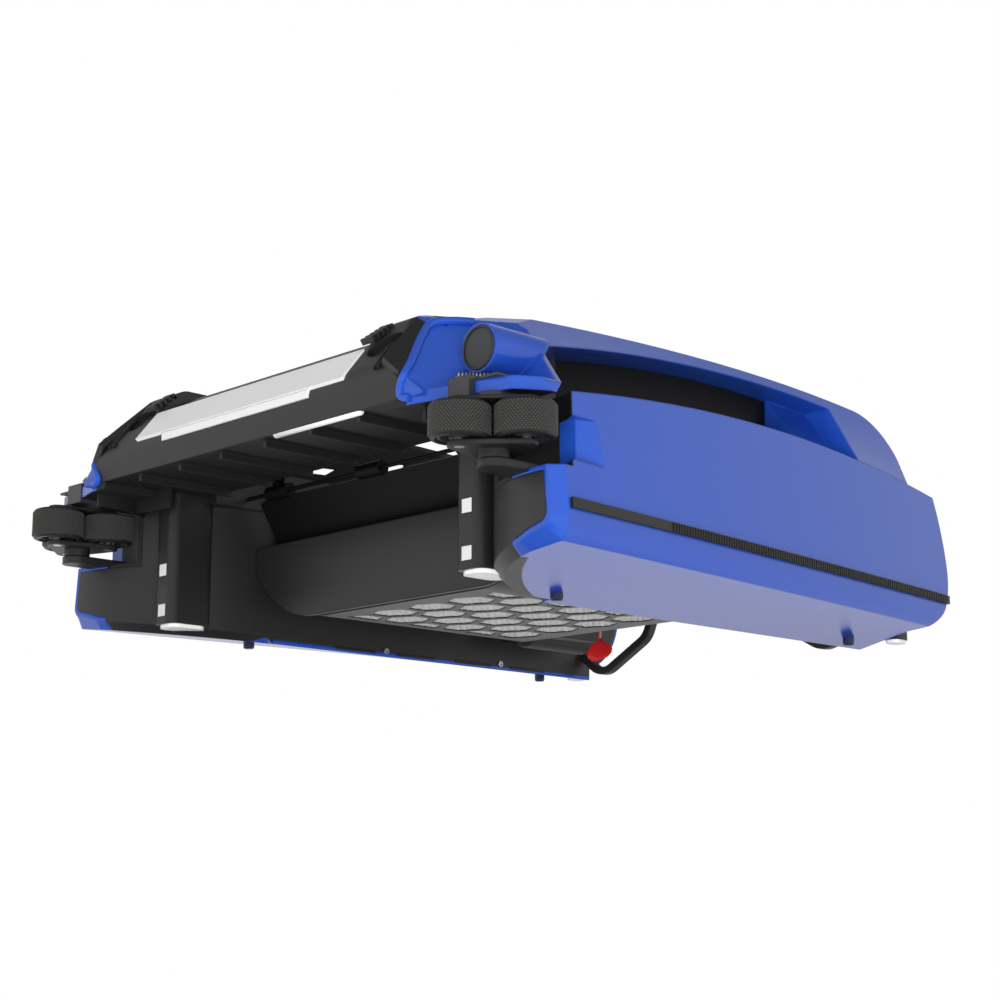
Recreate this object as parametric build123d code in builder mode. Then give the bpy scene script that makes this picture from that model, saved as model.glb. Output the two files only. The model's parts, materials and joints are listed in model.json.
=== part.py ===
from build123d import *
import math
import os

os.makedirs("parts", exist_ok=True)

# A floating pool skimmer: two pontoons, an open inlet between them, a lift-out basket and two propellers.
# Millimetres. X runs across, the bow faces -Y, Z is up, and the machine stands on z = 0.

# Overall size
half_length = 261.0
half_width = 254.0

# Clearances
running_gap = 0.05
moving_gap = 0.5
lift_gap = 3.0

# Pontoons
channel_half = 137.0
keel_z = 2.5
crease_z = 15.0
crease_setback = 5.5
side_foot_z = 30.0
tumblehome = 0.09
bow_flare = 4.0
stern_taper = 56.0
side_bulge = 2.5
bow_setback = 55.0
bow_radius = 100.0
bow_bevel = 8.0
keel_bevel = 6.5
skirt_places = ((0.0, 100.0), (35.0, 47.5), (71.0, 17.0))
shell_wall = 3.0
top_bow_z = 98.0
top_crown_z = 122.0
top_stern_z = 111.0
stern_wide_z = 60.0
stern_keel_z = 12.0
stern_keel_rake = 36.0
stern_top_rake = 16.0
loft_lead = 10.0
loft_trail = 6.0

# Bumper rollers
roller_radius = 18.0
roller_height = 21.0
roller_gap = 1.0
roller_mid_z = 81.0
roller_lead = 12.0
roller_count = 3
tyre_wall = 5.0
pin_radius = 3.0
plate_thick = 3.0
plate_gap = 1.0
plate_boss_radius = 9.0
plate_boss_height = 5.0
stub_radius = 3.5
arm_thick = 5.0
arm_radius = 10.0
arm_reach = 34.0
upper_plate_thick = 2.0
upper_boss_height = 1.5
clip_thick = 2.5
clip_hook_radius = 8.5
clip_hook_offset = 15.0
clip_hook_front = 13.5
clip_hook_depth = 9.0
clip_hook_rise = 3.0
clip_spring_thick = 1.5
clip_spring_reach = 18.0
lobe_radius = 7.0
hub_inset = 1.0
hub_recess = 6.0
hub_core_radius = 6.0
hub_rim = 2.0
tyre_round = 2.0
pocket_clearance = 4.0
arm_sink = 2.0
notch_drop = 3.0
notch_run = 53.0
notch_rise = 4.0

# Hood
hood_margin = 15.0
hood_front_z = 104.0
hood_overhang = 39.0
hood_top_z = 166.5
hood_length = 136.0
foot_rake = 3.0
foot_height = 9.0
brow_rise = 6.0
slope_run = 28.0
crest_drop = 6.0
hood_wall = 4.0
hood_front_wall = 7.0
deck_lead = 37.0
apron_width = 20.0
apron_depth = 18.0
cheek_place = (-13.0, 42.0)
cheek_facing = (0.66, -0.43, 0.62)
deck_z = 158.0
panel_inset = 43.0
panel_step_inset = 32.0
panel_low_z = 124.0
panel_step_z = 119.0
panel_run = 17.0
panel_rise = 21.0
panel_thick = 2.5
step_depth = 5.0
roof_z = 150.0
dry_box_length = 86.0
lens_inset = 23.0
lens_semi_x = 15.0
lens_semi_y = 11.0
lens_depth = 6.0
lens_thick = 2.0
tray_thick = 3.0
rib_height = 5.0
rib_thick = 2.0
rib_pitch = 46.0
rib_count = 6

# Fenders
arch_top_z = 176.5
arch_edge_x = 13.0
arch_lead_x = -12.0
arch_spare = 4.0
arch_tail_setback = 84.0
arch_tail_drop = 8.0
tail_end_setback = 48.0
tail_end_z = 136.0
arch_bar = 10.0
roof_place = (11.0, 77.0, 165.5)
roof_facing = (0.357, -0.221, 0.908)
pod_radius = 15.0
pod_offset = 42.0
pod_z = 132.5
pod_setback = 30.0
alcove_border = 3.0
bar_setback = 78.0
bar_z = 150.0
bar_slope = 0.75
bar_thick = 4.0
corner_run = 8.0
corner_fall = 1.0
corner_lead = 17.0
corner_front = 2.0
handle_lip_z = 142.0
handle_rear_setback = 120.0
well_facing = (0.81, 0.58)
well_place = (2.0, 166.0)
flange_thick = 8.0
sensor_radius = 13.0
sensor_thick = 2.5

# Inlet
rod_radius = 1.5
rod_setback = 130.0
rod_z = 105.0
rod_bite = 8.0
flap_lean = 32.0
flap_drop = 38.0
flap_thick = 2.4
flap_side_gap = 12.0
flap_corner = 5.0
flap_start = 4.0
knuckle_radius = 5.0
knuckle_length = 24.0
knuckle_pitch = 100.0
ramp_lip_z = 70.0
ramp_length = 12.0
ramp_belly = 4.0
ramp_wall = 3.0
ramp_bite = 4.0

# Debris basket
basket_wall = 2.5
basket_side_gap = 4.0
basket_floor_z = 17.5
basket_corner = 54.0
basket_front_setback = 157.0
basket_rear_setback = 166.0
basket_sill_z = 64.0
rim_flange = 12.0
rim_thick = 3.0
hex_width = 32.0
hex_height = 31.0
hex_pitch_x = 38.6
hex_pitch_y = 28.0
hex_margin = 8.0
mesh_thick = 0.8
mesh_margin = 1.0
bail_radius = 3.0
bail_knob_radius = 4.0
bail_pin_radius = 2.5
bail_reach = 80.0
bail_corner = 18.0
bail_side_gap = 5.0
bail_drop = 9.0

# Rear deck
deck_gap = 6.0
deck_front_z = 158.0
deck_rear_rise = 2.0
deck_rear_setback = 26.0
deck_lip_z = 96.0
deck_wall = 3.5
deck_skin = 9.0
deck_edge_run = 8.0
deck_edge_drop = 10.0
beam_cover = 4.0
bulkhead_z = 62.0
bulkhead_lap = 10.0
solar_inset_x = 14.0
solar_inset_y = 8.0
solar_thick = 3.0

# Drives
web_height = 12.0
web_inset = 10.0
pod_nose = 8.0
propeller_gap = 3.0
blade_root_pitch = 52.0
blade_tip_pitch = 28.0
blade_tip_chord = 13.0
blade_mid_share = 0.6
guard_post_x = 38.0
guard_corner = 18.0
drive_inset = 27.0
drive_z = 31.0
pod_body_radius = 13.0
pod_body_wall = 2.5
pod_front_setback = 146.0
pod_rear_setback = 72.0
motor_radius = 9.5
motor_length = 46.0
shaft_radius = 2.0
seal_radius = 5.0
seal_length = 6.0
propeller_radius = 25.0
propeller_hub_radius = 6.5
propeller_hub_length = 15.0
blade_count = 3
blade_thick = 1.8
blade_chord = 17.0
guard_setback = 47.0
guard_depth = 7.0
guard_width = 6.0
guard_bite = 4.0
guard_root_drop = 5.0
guard_low_offset = 4.0
guard_foot_gap = 1.0
guard_flank = 20.0

# Bow fins, skegs, nubs and strips
fin_inset = 19.5
fin_width = 23.0
fin_length = 36.0
fin_setback = 72.0
fin_foot_z = 11.0
fin_corner = 7.0
tile_size = 8.5
tile_depth = 1.2
tile_low_z = 20.5
tile_high_z = 49.0
pad_thick = 2.5
pad_margin = 1.5
skeg_inset = 25.0
skeg_width = 13.0
skeg_length = 16.0
skeg_setback = 26.0
skeg_foot_z = 8.0
nub_inset = 19.0
nub_radius = 4.0
nub_height = 18.0
nub_round = 1.5
nub_front_setback = 148.0
nub_rear_setback = 76.0
strip_z = 36.0
strip_height = 6.0
strip_proud = 1.6

# Top controls and inner pieces
button_radius = 10.0
button_travel = 1.5
button_proud = 2.0
button_flange = 2.0
button_flange_thick = 3.0
button_setback = 64.0
socket_x = 62.0
socket_radius = 9.0
socket_bore = 4.0
socket_depth = 14.0
cap_thick = 2.5
cap_overhang = 2.0
ear_gap = 9.0
ear_thick = 2.5
cap_pin_radius = 1.0
cap_knuckle_radius = 2.0
cap_pin_setback = 15.0
battery_size = (180.0, 46.0, 26.0)
battery_setback = 43.0
battery_round = 5.0
board_size = (96.0, 1.6, 40.0)
chip_size = 12.0
chip_pitch = 28.0
chip_count = 3

# Places worked out from the sizes above
bow_y = -half_length + bow_setback
stern_y = half_length
bow_side = half_width - bow_flare
bow_centre = (channel_half + bow_radius, bow_y + bow_radius)
roller_orbit = (2 * roller_radius + roller_gap) / math.sqrt(3)
roller_angles = [roller_lead + index * 360 / roller_count for index in range(roller_count)]
axle_x = half_width - roller_radius - roller_orbit * math.cos(math.radians(roller_lead))
axle_y = -half_length + roller_radius - roller_orbit * math.sin(math.radians(roller_angles[-1]))
roller_low_z = roller_mid_z - roller_height / 2
roller_top_z = roller_mid_z + roller_height / 2
sweep_radius = roller_orbit + roller_radius
plate_z = roller_low_z - plate_gap - plate_thick
arm_top_z = plate_z - plate_boss_height - moving_gap
pocket_floor_z = arm_top_z - arm_thick + arm_sink
notch_floor_z = pocket_floor_z + notch_rise
upper_plate_z = roller_top_z + plate_gap
clip_z = upper_plate_z + upper_plate_thick + upper_boss_height + moving_gap
flange_z = clip_z + clip_thick
flange_top_z = flange_z + flange_thick
hood_half = channel_half + hood_margin
panel_half = hood_half - panel_inset
panel_step_half = panel_half - panel_step_inset
lens_x = hood_half - lens_inset
deck_rear_z = top_crown_z + deck_rear_rise
fin_x = channel_half + fin_inset
skeg_x = channel_half + skeg_inset
nub_x = channel_half + nub_inset
drive_x = channel_half - drive_inset
hood_front_y = bow_y - hood_overhang
hood_rear_y = hood_front_y + hood_length
dry_box_y = hood_front_y + dry_box_length
tray_front_y = hood_front_y + hood_front_wall
tray_rear_y = dry_box_y - hood_wall
basket_front_y = -half_length + basket_front_setback
basket_rear_y = half_length - basket_rear_setback
deck_y = basket_rear_y + deck_gap
deck_rear_y = half_length - deck_rear_setback
rod_y = -half_length + rod_setback
fin_front_y = -half_length + fin_setback
arch_x = hood_half + arch_edge_x
arch_front_x = hood_half + arch_lead_x
pod_x = hood_half + pod_offset
drive_front_y = half_length - pod_front_setback
drive_rear_y = half_length - pod_rear_setback
far = 3 * (half_length + half_width)
mid_y = (bow_y + stern_y) / 2
loft_front_y = bow_y - loft_lead
loft_rear_y = stern_y + loft_trail
button_y = hood_front_y + button_setback
cap_y = button_y + cap_pin_setback
cap_z = deck_z + moving_gap + cap_knuckle_radius


def side_x(y):
    """Outer side of the pontoon at the foot of its side wall."""
    share = (y - bow_y) / (stern_y - bow_y)
    return bow_side - stern_taper * share + side_bulge * 4 * share * (1 - share)


def wall_x(y, z):
    """Outer side of the pontoon at a height above the chine."""
    return side_x(y) - tumblehome * (z - side_foot_z)


def facing_back(x, y, z):
    """Plane that looks along +Y."""
    return Plane(origin=(x, y, z), x_dir=(1, 0, 0), z_dir=(0, 1, 0))


def write(piece, name):
    """Label one finished piece and write it."""
    piece.part.label = name
    export_step(piece.part, f"parts/{name}.step")


def write_pair(piece, name):
    """Write a right-hand piece and its mirrored left twin."""
    write(piece, f"right_{name}")
    with BuildPart() as twin:
        mirror(piece.part, about=Plane.YZ)
    write(twin, f"left_{name}")


def top_line():
    """Arched top of the pontoon in side view, drawn past both ends."""
    return ThreePointArc((loft_front_y, top_bow_z), (mid_y, top_crown_z), (loft_rear_y, top_stern_z))


def write_both(piece, name):
    """Write a right-hand piece and its mirrored twin as two solids of one node."""
    with BuildPart() as both:
        add(piece.part)
        mirror(piece.part, about=Plane.YZ)
    write(both, name)


def pontoon_section(y, inset, skin):
    """Cross-section of the pontoon: sloping bottom, crease, rounded chine and leaning side."""
    outer = side_x(y) - inset
    top_z = top_crown_z + side_foot_z
    with BuildSketch(Plane.XZ.offset(-y)) as section:
        with BuildLine():
            side = Line((outer, side_foot_z + skin), (wall_x(y, top_z) - inset, top_z))
            chine = TangentArc(side @ 0, (outer - crease_setback, crease_z + inset), tangent=-(side % 0))
            Polyline(chine @ 1, (channel_half, keel_z + inset), (channel_half, top_z), side @ 1)
        make_face()
    return section.sketch


def pontoon(inset):
    """Right pontoon with its outer faces moved in by inset, apart from the bow, inner wall and top."""
    pocket_radius = sweep_radius + pocket_clearance + inset
    ramp_y = axle_y + pocket_radius
    bevel_y = bow_y + bow_bevel
    keel_slope = (crease_z - keel_z) / (bow_side - crease_setback - channel_half)
    keel_plane = Plane(origin=(channel_half, 0, keel_z + inset), x_dir=(1, 0, keel_slope),
                       z_dir=(-keel_slope, 0, 1))
    with BuildPart() as body:
        loft([pontoon_section(y, inset, inset) for y in (bevel_y, mid_y, loft_rear_y)])
        # Bevelled nose
        nose = pontoon_section(bow_y - bow_bevel, inset + 2 * bow_bevel, inset)
        loft([nose, pontoon_section(bevel_y, inset, inset)], ruled=True)
        # Arched top
        with BuildSketch(Plane.YZ):
            with BuildLine():
                arch = top_line()
                Polyline(arch @ 1, (loft_rear_y, far), (loft_front_y, far), arch @ 0)
            make_face()
        extrude(amount=far, both=True, mode=Mode.SUBTRACT)
        # Rounded stern
        with BuildSketch(Plane.YZ):
            with BuildLine():
                wide = (stern_y - inset, stern_wide_z)
                low = TangentArc(wide, (stern_y - stern_keel_rake, stern_keel_z), tangent=(0, -1))
                high = TangentArc(wide, (stern_y - stern_top_rake - inset, top_crown_z + loft_trail),
                                  tangent=(0, 1))
                Polyline(low @ 1, (stern_y - 2 * stern_keel_rake, -far), (far, -far), (far, far), high @ 1)
            make_face()
        extrude(amount=far, both=True, mode=Mode.SUBTRACT)
        # Quarter-round bow
        with BuildSketch():
            with BuildLine():
                bow = CenterArc(bow_centre, bow_radius, 180, 90)
                Polyline(bow @ 1, (far, bow_y), (far, -far), (0, -far), (0, bow_centre[1]), bow @ 0)
            make_face()
        extrude(amount=far, both=True, mode=Mode.SUBTRACT)
        # Bevel along the bottom edge of the bow
        with BuildPart(mode=Mode.PRIVATE) as keel_edge:
            with BuildSketch(keel_plane):
                Rectangle(far, far)
            extrude(amount=keel_bevel)
            with BuildSketch(keel_plane):
                with BuildLine():
                    inner = CenterArc((bow_radius, bow_centre[1]), bow_radius - keel_bevel, 180, 90)
                    Polyline(inner @ 1, (far, bow_y + keel_bevel), (far, far), (-far, far),
                             (-far, bow_centre[1]), inner @ 0)
                make_face()
            extrude(amount=keel_bevel, taper=-45, mode=Mode.SUBTRACT)
        add(keel_edge.part, mode=Mode.SUBTRACT)
        # Room for the turning rollers
        with BuildSketch(Plane.XY.offset(pocket_floor_z - inset)):
            with Locations((axle_x, axle_y)):
                Circle(pocket_radius)
        extrude(amount=far, mode=Mode.SUBTRACT)
        # Notch that runs out from there to the side wall
        with BuildSketch(Plane.XY.offset(notch_floor_z - inset)):
            with BuildLine():
                Polyline((axle_x, axle_y), (axle_x, ramp_y + inset),
                         (axle_x + pocket_radius / 2 - inset, ramp_y + inset),
                         (half_width - inset, ramp_y + notch_run + inset),
                         (far, ramp_y + notch_run + inset), (far, axle_y),
                         close=True)
            make_face()
        extrude(amount=roller_top_z - notch_drop - notch_floor_z + 2 * inset, mode=Mode.SUBTRACT)
    return body.part


right_pontoon = pontoon(0)
left_pontoon = mirror(right_pontoon, about=Plane.YZ)

# Inner hulls, the black floats, which come to the outside along the bottom of the bow
with BuildPart() as inner_hull:
    with BuildSketch():
        with BuildLine():
            edge = ThreePointArc(*[(channel_half + out, bow_y + back) for out, back in skirt_places])
            Polyline(edge @ 1, ((edge @ 1).X, -half_length), (channel_half, -half_length), edge @ 0)
        make_face()
    extrude(amount=pocket_floor_z - shell_wall)
    add(right_pontoon, mode=Mode.INTERSECT)
    add(pontoon(shell_wall))
write_pair(inner_hull, "inner_hull")

# Outer pontoon shells: what is left of the pontoon outside the inner hull
with BuildPart() as pontoon_shell:
    add(right_pontoon)
    add(inner_hull.part, mode=Mode.SUBTRACT)
write_pair(pontoon_shell, "pontoon_shell")

# Rub strips along the side walls
with BuildPart() as rub_strip:
    for station in (bow_y + loft_lead, mid_y, stern_y - loft_trail):
        with BuildSketch(Plane.XZ.offset(-station)):
            with Locations((side_x(station), strip_z)):
                Rectangle(2 * strip_proud, strip_height)
    loft()
    add(right_pontoon, mode=Mode.SUBTRACT)
write_both(rub_strip, "rub_strips")

# Hull nubs that the machine stands on
nub_front_y = -half_length + nub_front_setback
nub_rear_y = half_length - nub_rear_setback
with BuildPart() as hull_nubs:
    with BuildSketch():
        with Locations(*[(side * nub_x, y) for side in (-1, 1) for y in (nub_front_y, nub_rear_y)]):
            Circle(nub_radius)
    extrude(amount=nub_height)
    fillet(hull_nubs.edges().group_by(Axis.Z)[0], nub_round)
    add(right_pontoon, mode=Mode.SUBTRACT)
    add(left_pontoon, mode=Mode.SUBTRACT)
write(hull_nubs, "hull_nubs")


def shoulder_line():
    """Front of the hood's shoulders in side view, from the lower edge to the top."""
    foot = Line((hood_front_y + foot_rake, hood_front_z), (hood_front_y, hood_front_z + foot_height))
    brow = TangentArc(foot @ 1, (hood_front_y + foot_rake, panel_low_z + brow_rise), tangent=foot % 1)
    slope = Line(brow @ 1, (hood_front_y + slope_run, hood_top_z - crest_drop))
    crest = TangentArc(slope @ 1, (hood_front_y + cheek_place[1], hood_top_z), tangent=slope % 1)
    return foot @ 0, crest @ 1


def lens_plane(side):
    """Floor of the oval recess in one shoulder, facing out of the slope."""
    rise = hood_top_z - crest_drop - panel_low_z - brow_rise
    run = slope_run - foot_rake
    middle = (side * lens_x, hood_front_y + (slope_run + foot_rake) / 2, (hood_top_z + panel_low_z) / 2)
    return Plane(origin=middle, x_dir=(1, 0, 0), z_dir=(0, -rise, run)).offset(-lens_depth)


def cheek_plane(side):
    """Slanted end of one shoulder, where the hood meets the fender."""
    out, ahead, up = cheek_facing
    corner = (side * (hood_half + cheek_place[0]), hood_front_y + cheek_place[1], hood_top_z)
    return Plane(origin=corner, z_dir=(side * out, ahead, up))


# Outer shape of the front hood, with an apron that flares out below both cheeks
with BuildPart() as hood_block:
    with BuildSketch(Plane.YZ.offset(-hood_half)):
        with BuildLine():
            low, high = shoulder_line()
            Polyline(high, (hood_rear_y, hood_top_z), (hood_rear_y, top_bow_z), (dry_box_y, top_bow_z),
                     (dry_box_y, hood_front_z), low)
        make_face()
    extrude(amount=2 * hood_half)
    with BuildSketch(Plane.YZ.offset(-hood_half - apron_width)):
        with BuildLine():
            low, high = shoulder_line()
            Polyline(high, (high.X, hood_front_z), low)
        make_face()
        with Locations((hood_front_y, hood_front_z)):
            Rectangle(2 * apron_depth, far, mode=Mode.INTERSECT)
    extrude(amount=2 * (hood_half + apron_width))
    for side in (-1, 1):
        with BuildSketch(cheek_plane(side)):
            Rectangle(far, far)
        extrude(amount=far, mode=Mode.SUBTRACT)

# Front hood: shoulders at both sides of a lower centre, open below
with BuildPart() as front_hood:
    add(hood_block.part)
    with BuildSketch(Plane.YZ.offset(-panel_half)):
        with BuildLine():
            Polyline((hood_front_y, panel_low_z), (hood_front_y + panel_run, panel_low_z + panel_rise),
                     (hood_front_y + deck_lead, deck_z), (hood_rear_y, deck_z), (hood_rear_y, far),
                     (-far, far), (-far, panel_low_z), close=True)
        make_face()
    extrude(amount=2 * panel_half, mode=Mode.SUBTRACT)
    with BuildSketch(Plane.YZ.offset(hood_wall - hood_half)):
        with BuildLine():
            Polyline((tray_front_y, 0), (tray_front_y, panel_low_z - panel_thick),
                     (hood_front_y + deck_lead, deck_z - hood_wall), (tray_rear_y, deck_z - hood_wall),
                     (tray_rear_y, 0), close=True)
        make_face()
    extrude(amount=2 * (hood_half - hood_wall), mode=Mode.SUBTRACT)
    with BuildSketch(Plane.YZ.offset(-channel_half)):
        with Locations(((dry_box_y + hood_rear_y) / 2, roof_z / 2)):
            Rectangle(hood_rear_y - dry_box_y, roof_z)
    extrude(amount=2 * channel_half, mode=Mode.SUBTRACT)
    for side in (-1, 1):
        with BuildSketch(lens_plane(side)):
            Ellipse(lens_semi_x, lens_semi_y)
        extrude(amount=2 * lens_depth, mode=Mode.SUBTRACT)
    add(right_pontoon, mode=Mode.SUBTRACT)
    add(left_pontoon, mode=Mode.SUBTRACT)
    with Locations((0, button_y, deck_z)):
        Cylinder(button_radius + moving_gap, 4 * hood_wall, mode=Mode.SUBTRACT)
    with Locations((socket_x, button_y, deck_z)):
        Cylinder(socket_radius, 4 * hood_wall, mode=Mode.SUBTRACT)
    # Ears and pin for the cap of the charging socket
    with BuildSketch(Plane.XY.offset(deck_z)):
        with Locations((socket_x, cap_y)):
            with GridLocations(ear_gap + ear_thick, 0, 2, 1):
                Rectangle(ear_thick, 2 * cap_knuckle_radius)
    extrude(amount=cap_z + cap_knuckle_radius - deck_z)
    with BuildSketch(Plane.YZ.offset(socket_x - ear_gap / 2)):
        with Locations((cap_y, cap_z)):
            Circle(cap_pin_radius)
    extrude(amount=ear_gap)
write(front_hood, "front_hood")

# Pale tiles set in the front of the fins
with BuildPart() as fin_tiles:
    for tile_z in (tile_low_z, tile_high_z):
        with BuildSketch(Plane.XZ.offset(-fin_front_y)):
            with Locations((-fin_x, tile_z), (fin_x, tile_z)):
                Rectangle(tile_size, tile_size)
        extrude(amount=-tile_depth)
write(fin_tiles, "fin_tiles")

# Stern skegs under the rounded stern
with BuildPart() as stern_skegs:
    with BuildSketch(Plane.XY.offset(skeg_foot_z)):
        with Locations(*[(side * skeg_x, stern_y - skeg_setback) for side in (-1, 1)]):
            RectangleRounded(skeg_width, skeg_length, skeg_width / 3)
    extrude(amount=stern_wide_z - skeg_foot_z)
    add(right_pontoon, mode=Mode.SUBTRACT)
    add(left_pontoon, mode=Mode.SUBTRACT)
write(stern_skegs, "stern_skegs")

# Pale pads under the fins and skegs
with BuildPart() as foot_pads:
    with BuildSketch(Plane.XY.offset(fin_foot_z)):
        with Locations(*[(side * fin_x, fin_front_y + fin_length / 2) for side in (-1, 1)]):
            RectangleRounded(fin_width - 2 * pad_margin, fin_length - 4 * pad_margin, fin_corner)
    extrude(amount=-pad_thick)
    with BuildSketch(Plane.XY.offset(skeg_foot_z)):
        with Locations(*[(side * skeg_x, stern_y - skeg_setback) for side in (-1, 1)]):
            RectangleRounded(skeg_width - pad_margin, skeg_length - pad_margin, skeg_width / 3)
    extrude(amount=-pad_thick)
    add(right_pontoon, mode=Mode.SUBTRACT)
    add(left_pontoon, mode=Mode.SUBTRACT)
write(foot_pads, "foot_pads")

# Pale front panel with its lower middle step
with BuildPart() as front_panel:
    with BuildSketch(Plane.YZ.offset(-panel_half)):
        with BuildLine():
            slope = Line((hood_front_y, panel_low_z), (hood_front_y + panel_run, panel_low_z + panel_rise))
            lift = Vector(-panel_rise, panel_run).normalized() * panel_thick
            Polyline(slope @ 1, slope @ 1 + lift, slope @ 0 + lift, slope @ 0)
        make_face()
    extrude(amount=2 * panel_half)
    with BuildSketch(Plane.YZ.offset(-panel_step_half)):
        with BuildLine():
            Polyline((hood_front_y + step_depth, panel_step_z), (hood_front_y - panel_thick, panel_step_z),
                     (hood_front_y - panel_thick, panel_low_z),
                     (hood_front_y + step_depth, panel_low_z + step_depth), close=True)
        make_face()
    extrude(amount=2 * panel_step_half)
    add(front_hood.part, mode=Mode.SUBTRACT)
write(front_panel, "front_panel")

# Dark lenses in the oval recesses
with BuildPart() as corner_lenses:
    for side in (-1, 1):
        with BuildSketch(lens_plane(side)):
            Ellipse(lens_semi_x, lens_semi_y)
        extrude(amount=lens_thick)
write(corner_lenses, "corner_lenses")

# Outer limit of the fenders: the side wall carried up, then leaning in to the arch
with BuildPart() as fender_limit:
    for y, edge_z, top_x in ((hood_front_y - loft_trail, top_bow_z, arch_front_x),
                             (mid_y, top_crown_z, arch_x), (loft_rear_y, top_stern_z, arch_x)):
        with BuildSketch(Plane.XZ.offset(-y)):
            with BuildLine():
                Polyline((0, pocket_floor_z), (wall_x(y, pocket_floor_z), pocket_floor_z),
                         (wall_x(y, edge_z), edge_z), (top_x, arch_top_z + arch_spare),
                         (0, arch_top_z + arch_spare), close=True)
            make_face()
    loft()

# Hand opening under the arch, which turns into a closed well beside the rear deck
handle_rear_y = half_length - handle_rear_setback
bar_y = hood_front_y + bar_setback
bar_foot_y = bar_y - bar_slope * (bar_z - flange_top_z)
bar_low_y = bar_y - bar_slope * bar_z
well_plane = Plane(origin=(hood_half + well_place[0], 0, well_place[1]),
                   z_dir=(-well_facing[0], 0, -well_facing[1]))
with BuildPart() as well_side:
    with BuildSketch(well_plane):
        Rectangle(far, far)
    extrude(amount=far)
    with BuildSketch(facing_back(0, deck_y, 0)):
        Rectangle(far, far)
    extrude(amount=far, mode=Mode.INTERSECT)
with BuildPart() as hand_opening:
    with BuildSketch(Plane.YZ.offset(hood_half)):
        with BuildLine():
            under = ThreePointArc((bar_y + bar_thick - bar_slope * (bar_z - handle_lip_z), handle_lip_z),
                                  (mid_y, arch_top_z - arch_bar),
                                  (handle_rear_y, arch_top_z - arch_bar - arch_spare))
            Polyline(under @ 1, (handle_rear_y, 0), (bar_low_y + bar_thick, 0), under @ 0)
        make_face()
    extrude(amount=far)
    add(well_side.part, mode=Mode.SUBTRACT)

# Alcove between the slanted cheek and the slanted bar
bar_top_y = bar_y + bar_slope * (arch_top_z - bar_z)
with BuildPart() as alcove:
    with BuildSketch(Plane.YZ.offset(channel_half)):
        with BuildLine():
            Polyline((-far, flange_top_z), (bar_foot_y, flange_top_z), (bar_top_y, arch_top_z),
                     (-far, arch_top_z), close=True)
        make_face()
    extrude(amount=far)
    with BuildSketch(cheek_plane(1).offset(alcove_border)):
        Rectangle(far, far)
    extrude(amount=-far, mode=Mode.SUBTRACT)

# Side fenders with the carrying arch, the front alcove and the sensor pod
pod_front_y = hood_front_y + pod_setback
roof_plane = Plane(origin=(hood_half + roof_place[0], hood_front_y + roof_place[1], roof_place[2]),
                   z_dir=roof_facing)
with BuildPart() as side_fender:
    with BuildSketch(Plane.YZ.offset(channel_half)):
        with BuildLine():
            low, high = shoulder_line()
            arch = ThreePointArc(high, (mid_y, arch_top_z),
                                 (stern_y - arch_tail_setback, arch_top_z - arch_tail_drop))
            tail = TangentArc(arch @ 1, (stern_y - tail_end_setback, tail_end_z), tangent=arch % 1)
            Polyline(tail @ 1, (stern_y - tail_end_setback, flange_z), (low.X, flange_z), low)
        make_face()
    extrude(amount=far)
    add(fender_limit.part, mode=Mode.INTERSECT)
    # Inner side, which stands back to the hood's width below the hood and behind the cheek
    with BuildSketch():
        Rectangle(2 * hood_half, far)
    extrude(amount=hood_front_z, mode=Mode.SUBTRACT)
    with BuildSketch():
        with Locations((0, hood_front_y + cheek_place[1])):
            Rectangle(2 * hood_half, far, align=(Align.CENTER, Align.MIN))
    extrude(amount=far, mode=Mode.SUBTRACT)
    # Chamfered plan of the front corner
    with BuildSketch():
        with BuildLine():
            Polyline((0, -far), (0, hood_front_y), (hood_half + corner_run, hood_front_y + corner_fall),
                     (axle_x + corner_lead, axle_y - corner_front), (wall_x(bow_y, flange_z), bow_y),
                     (far, bow_y), (far, -far), close=True)
        make_face()
    extrude(amount=far, mode=Mode.SUBTRACT)
    add(alcove.part, mode=Mode.SUBTRACT)
    # Slope at the front end of the arch
    with BuildSketch(roof_plane):
        Rectangle(far, far)
    extrude(amount=far, mode=Mode.SUBTRACT)
    # Sensor pod, trimmed by the bar
    with BuildSketch(facing_back(pod_x, pod_front_y, pod_z)):
        Circle(pod_radius)
    extrude(amount=bar_y - pod_front_y)
    add(hand_opening.part, mode=Mode.SUBTRACT)
    with BuildSketch(facing_back(pod_x, pod_front_y, pod_z)):
        Circle(sensor_radius)
    extrude(amount=sensor_thick, mode=Mode.SUBTRACT)
    add(right_pontoon, mode=Mode.SUBTRACT)
    add(hood_block.part, mode=Mode.SUBTRACT)
write_pair(side_fender, "side_fender")

# Bow fins in front of the rounded bows
with BuildPart() as bow_fin:
    with BuildSketch(Plane.XY.offset(fin_foot_z)):
        with Locations((fin_x, fin_front_y + fin_length / 2)):
            RectangleRounded(fin_width, fin_length, fin_corner)
    extrude(amount=hood_front_z - fin_foot_z)
    for tile_z in (tile_low_z, tile_high_z):
        with BuildSketch(Plane.XZ.offset(-fin_front_y)):
            with Locations((fin_x, tile_z)):
                Rectangle(tile_size, tile_size)
        extrude(amount=-tile_depth, mode=Mode.SUBTRACT)
    add(right_pontoon, mode=Mode.SUBTRACT)
    add(front_hood.part, mode=Mode.SUBTRACT)
    add(side_fender.part, mode=Mode.SUBTRACT)
write_pair(bow_fin, "bow_fin")

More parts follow.
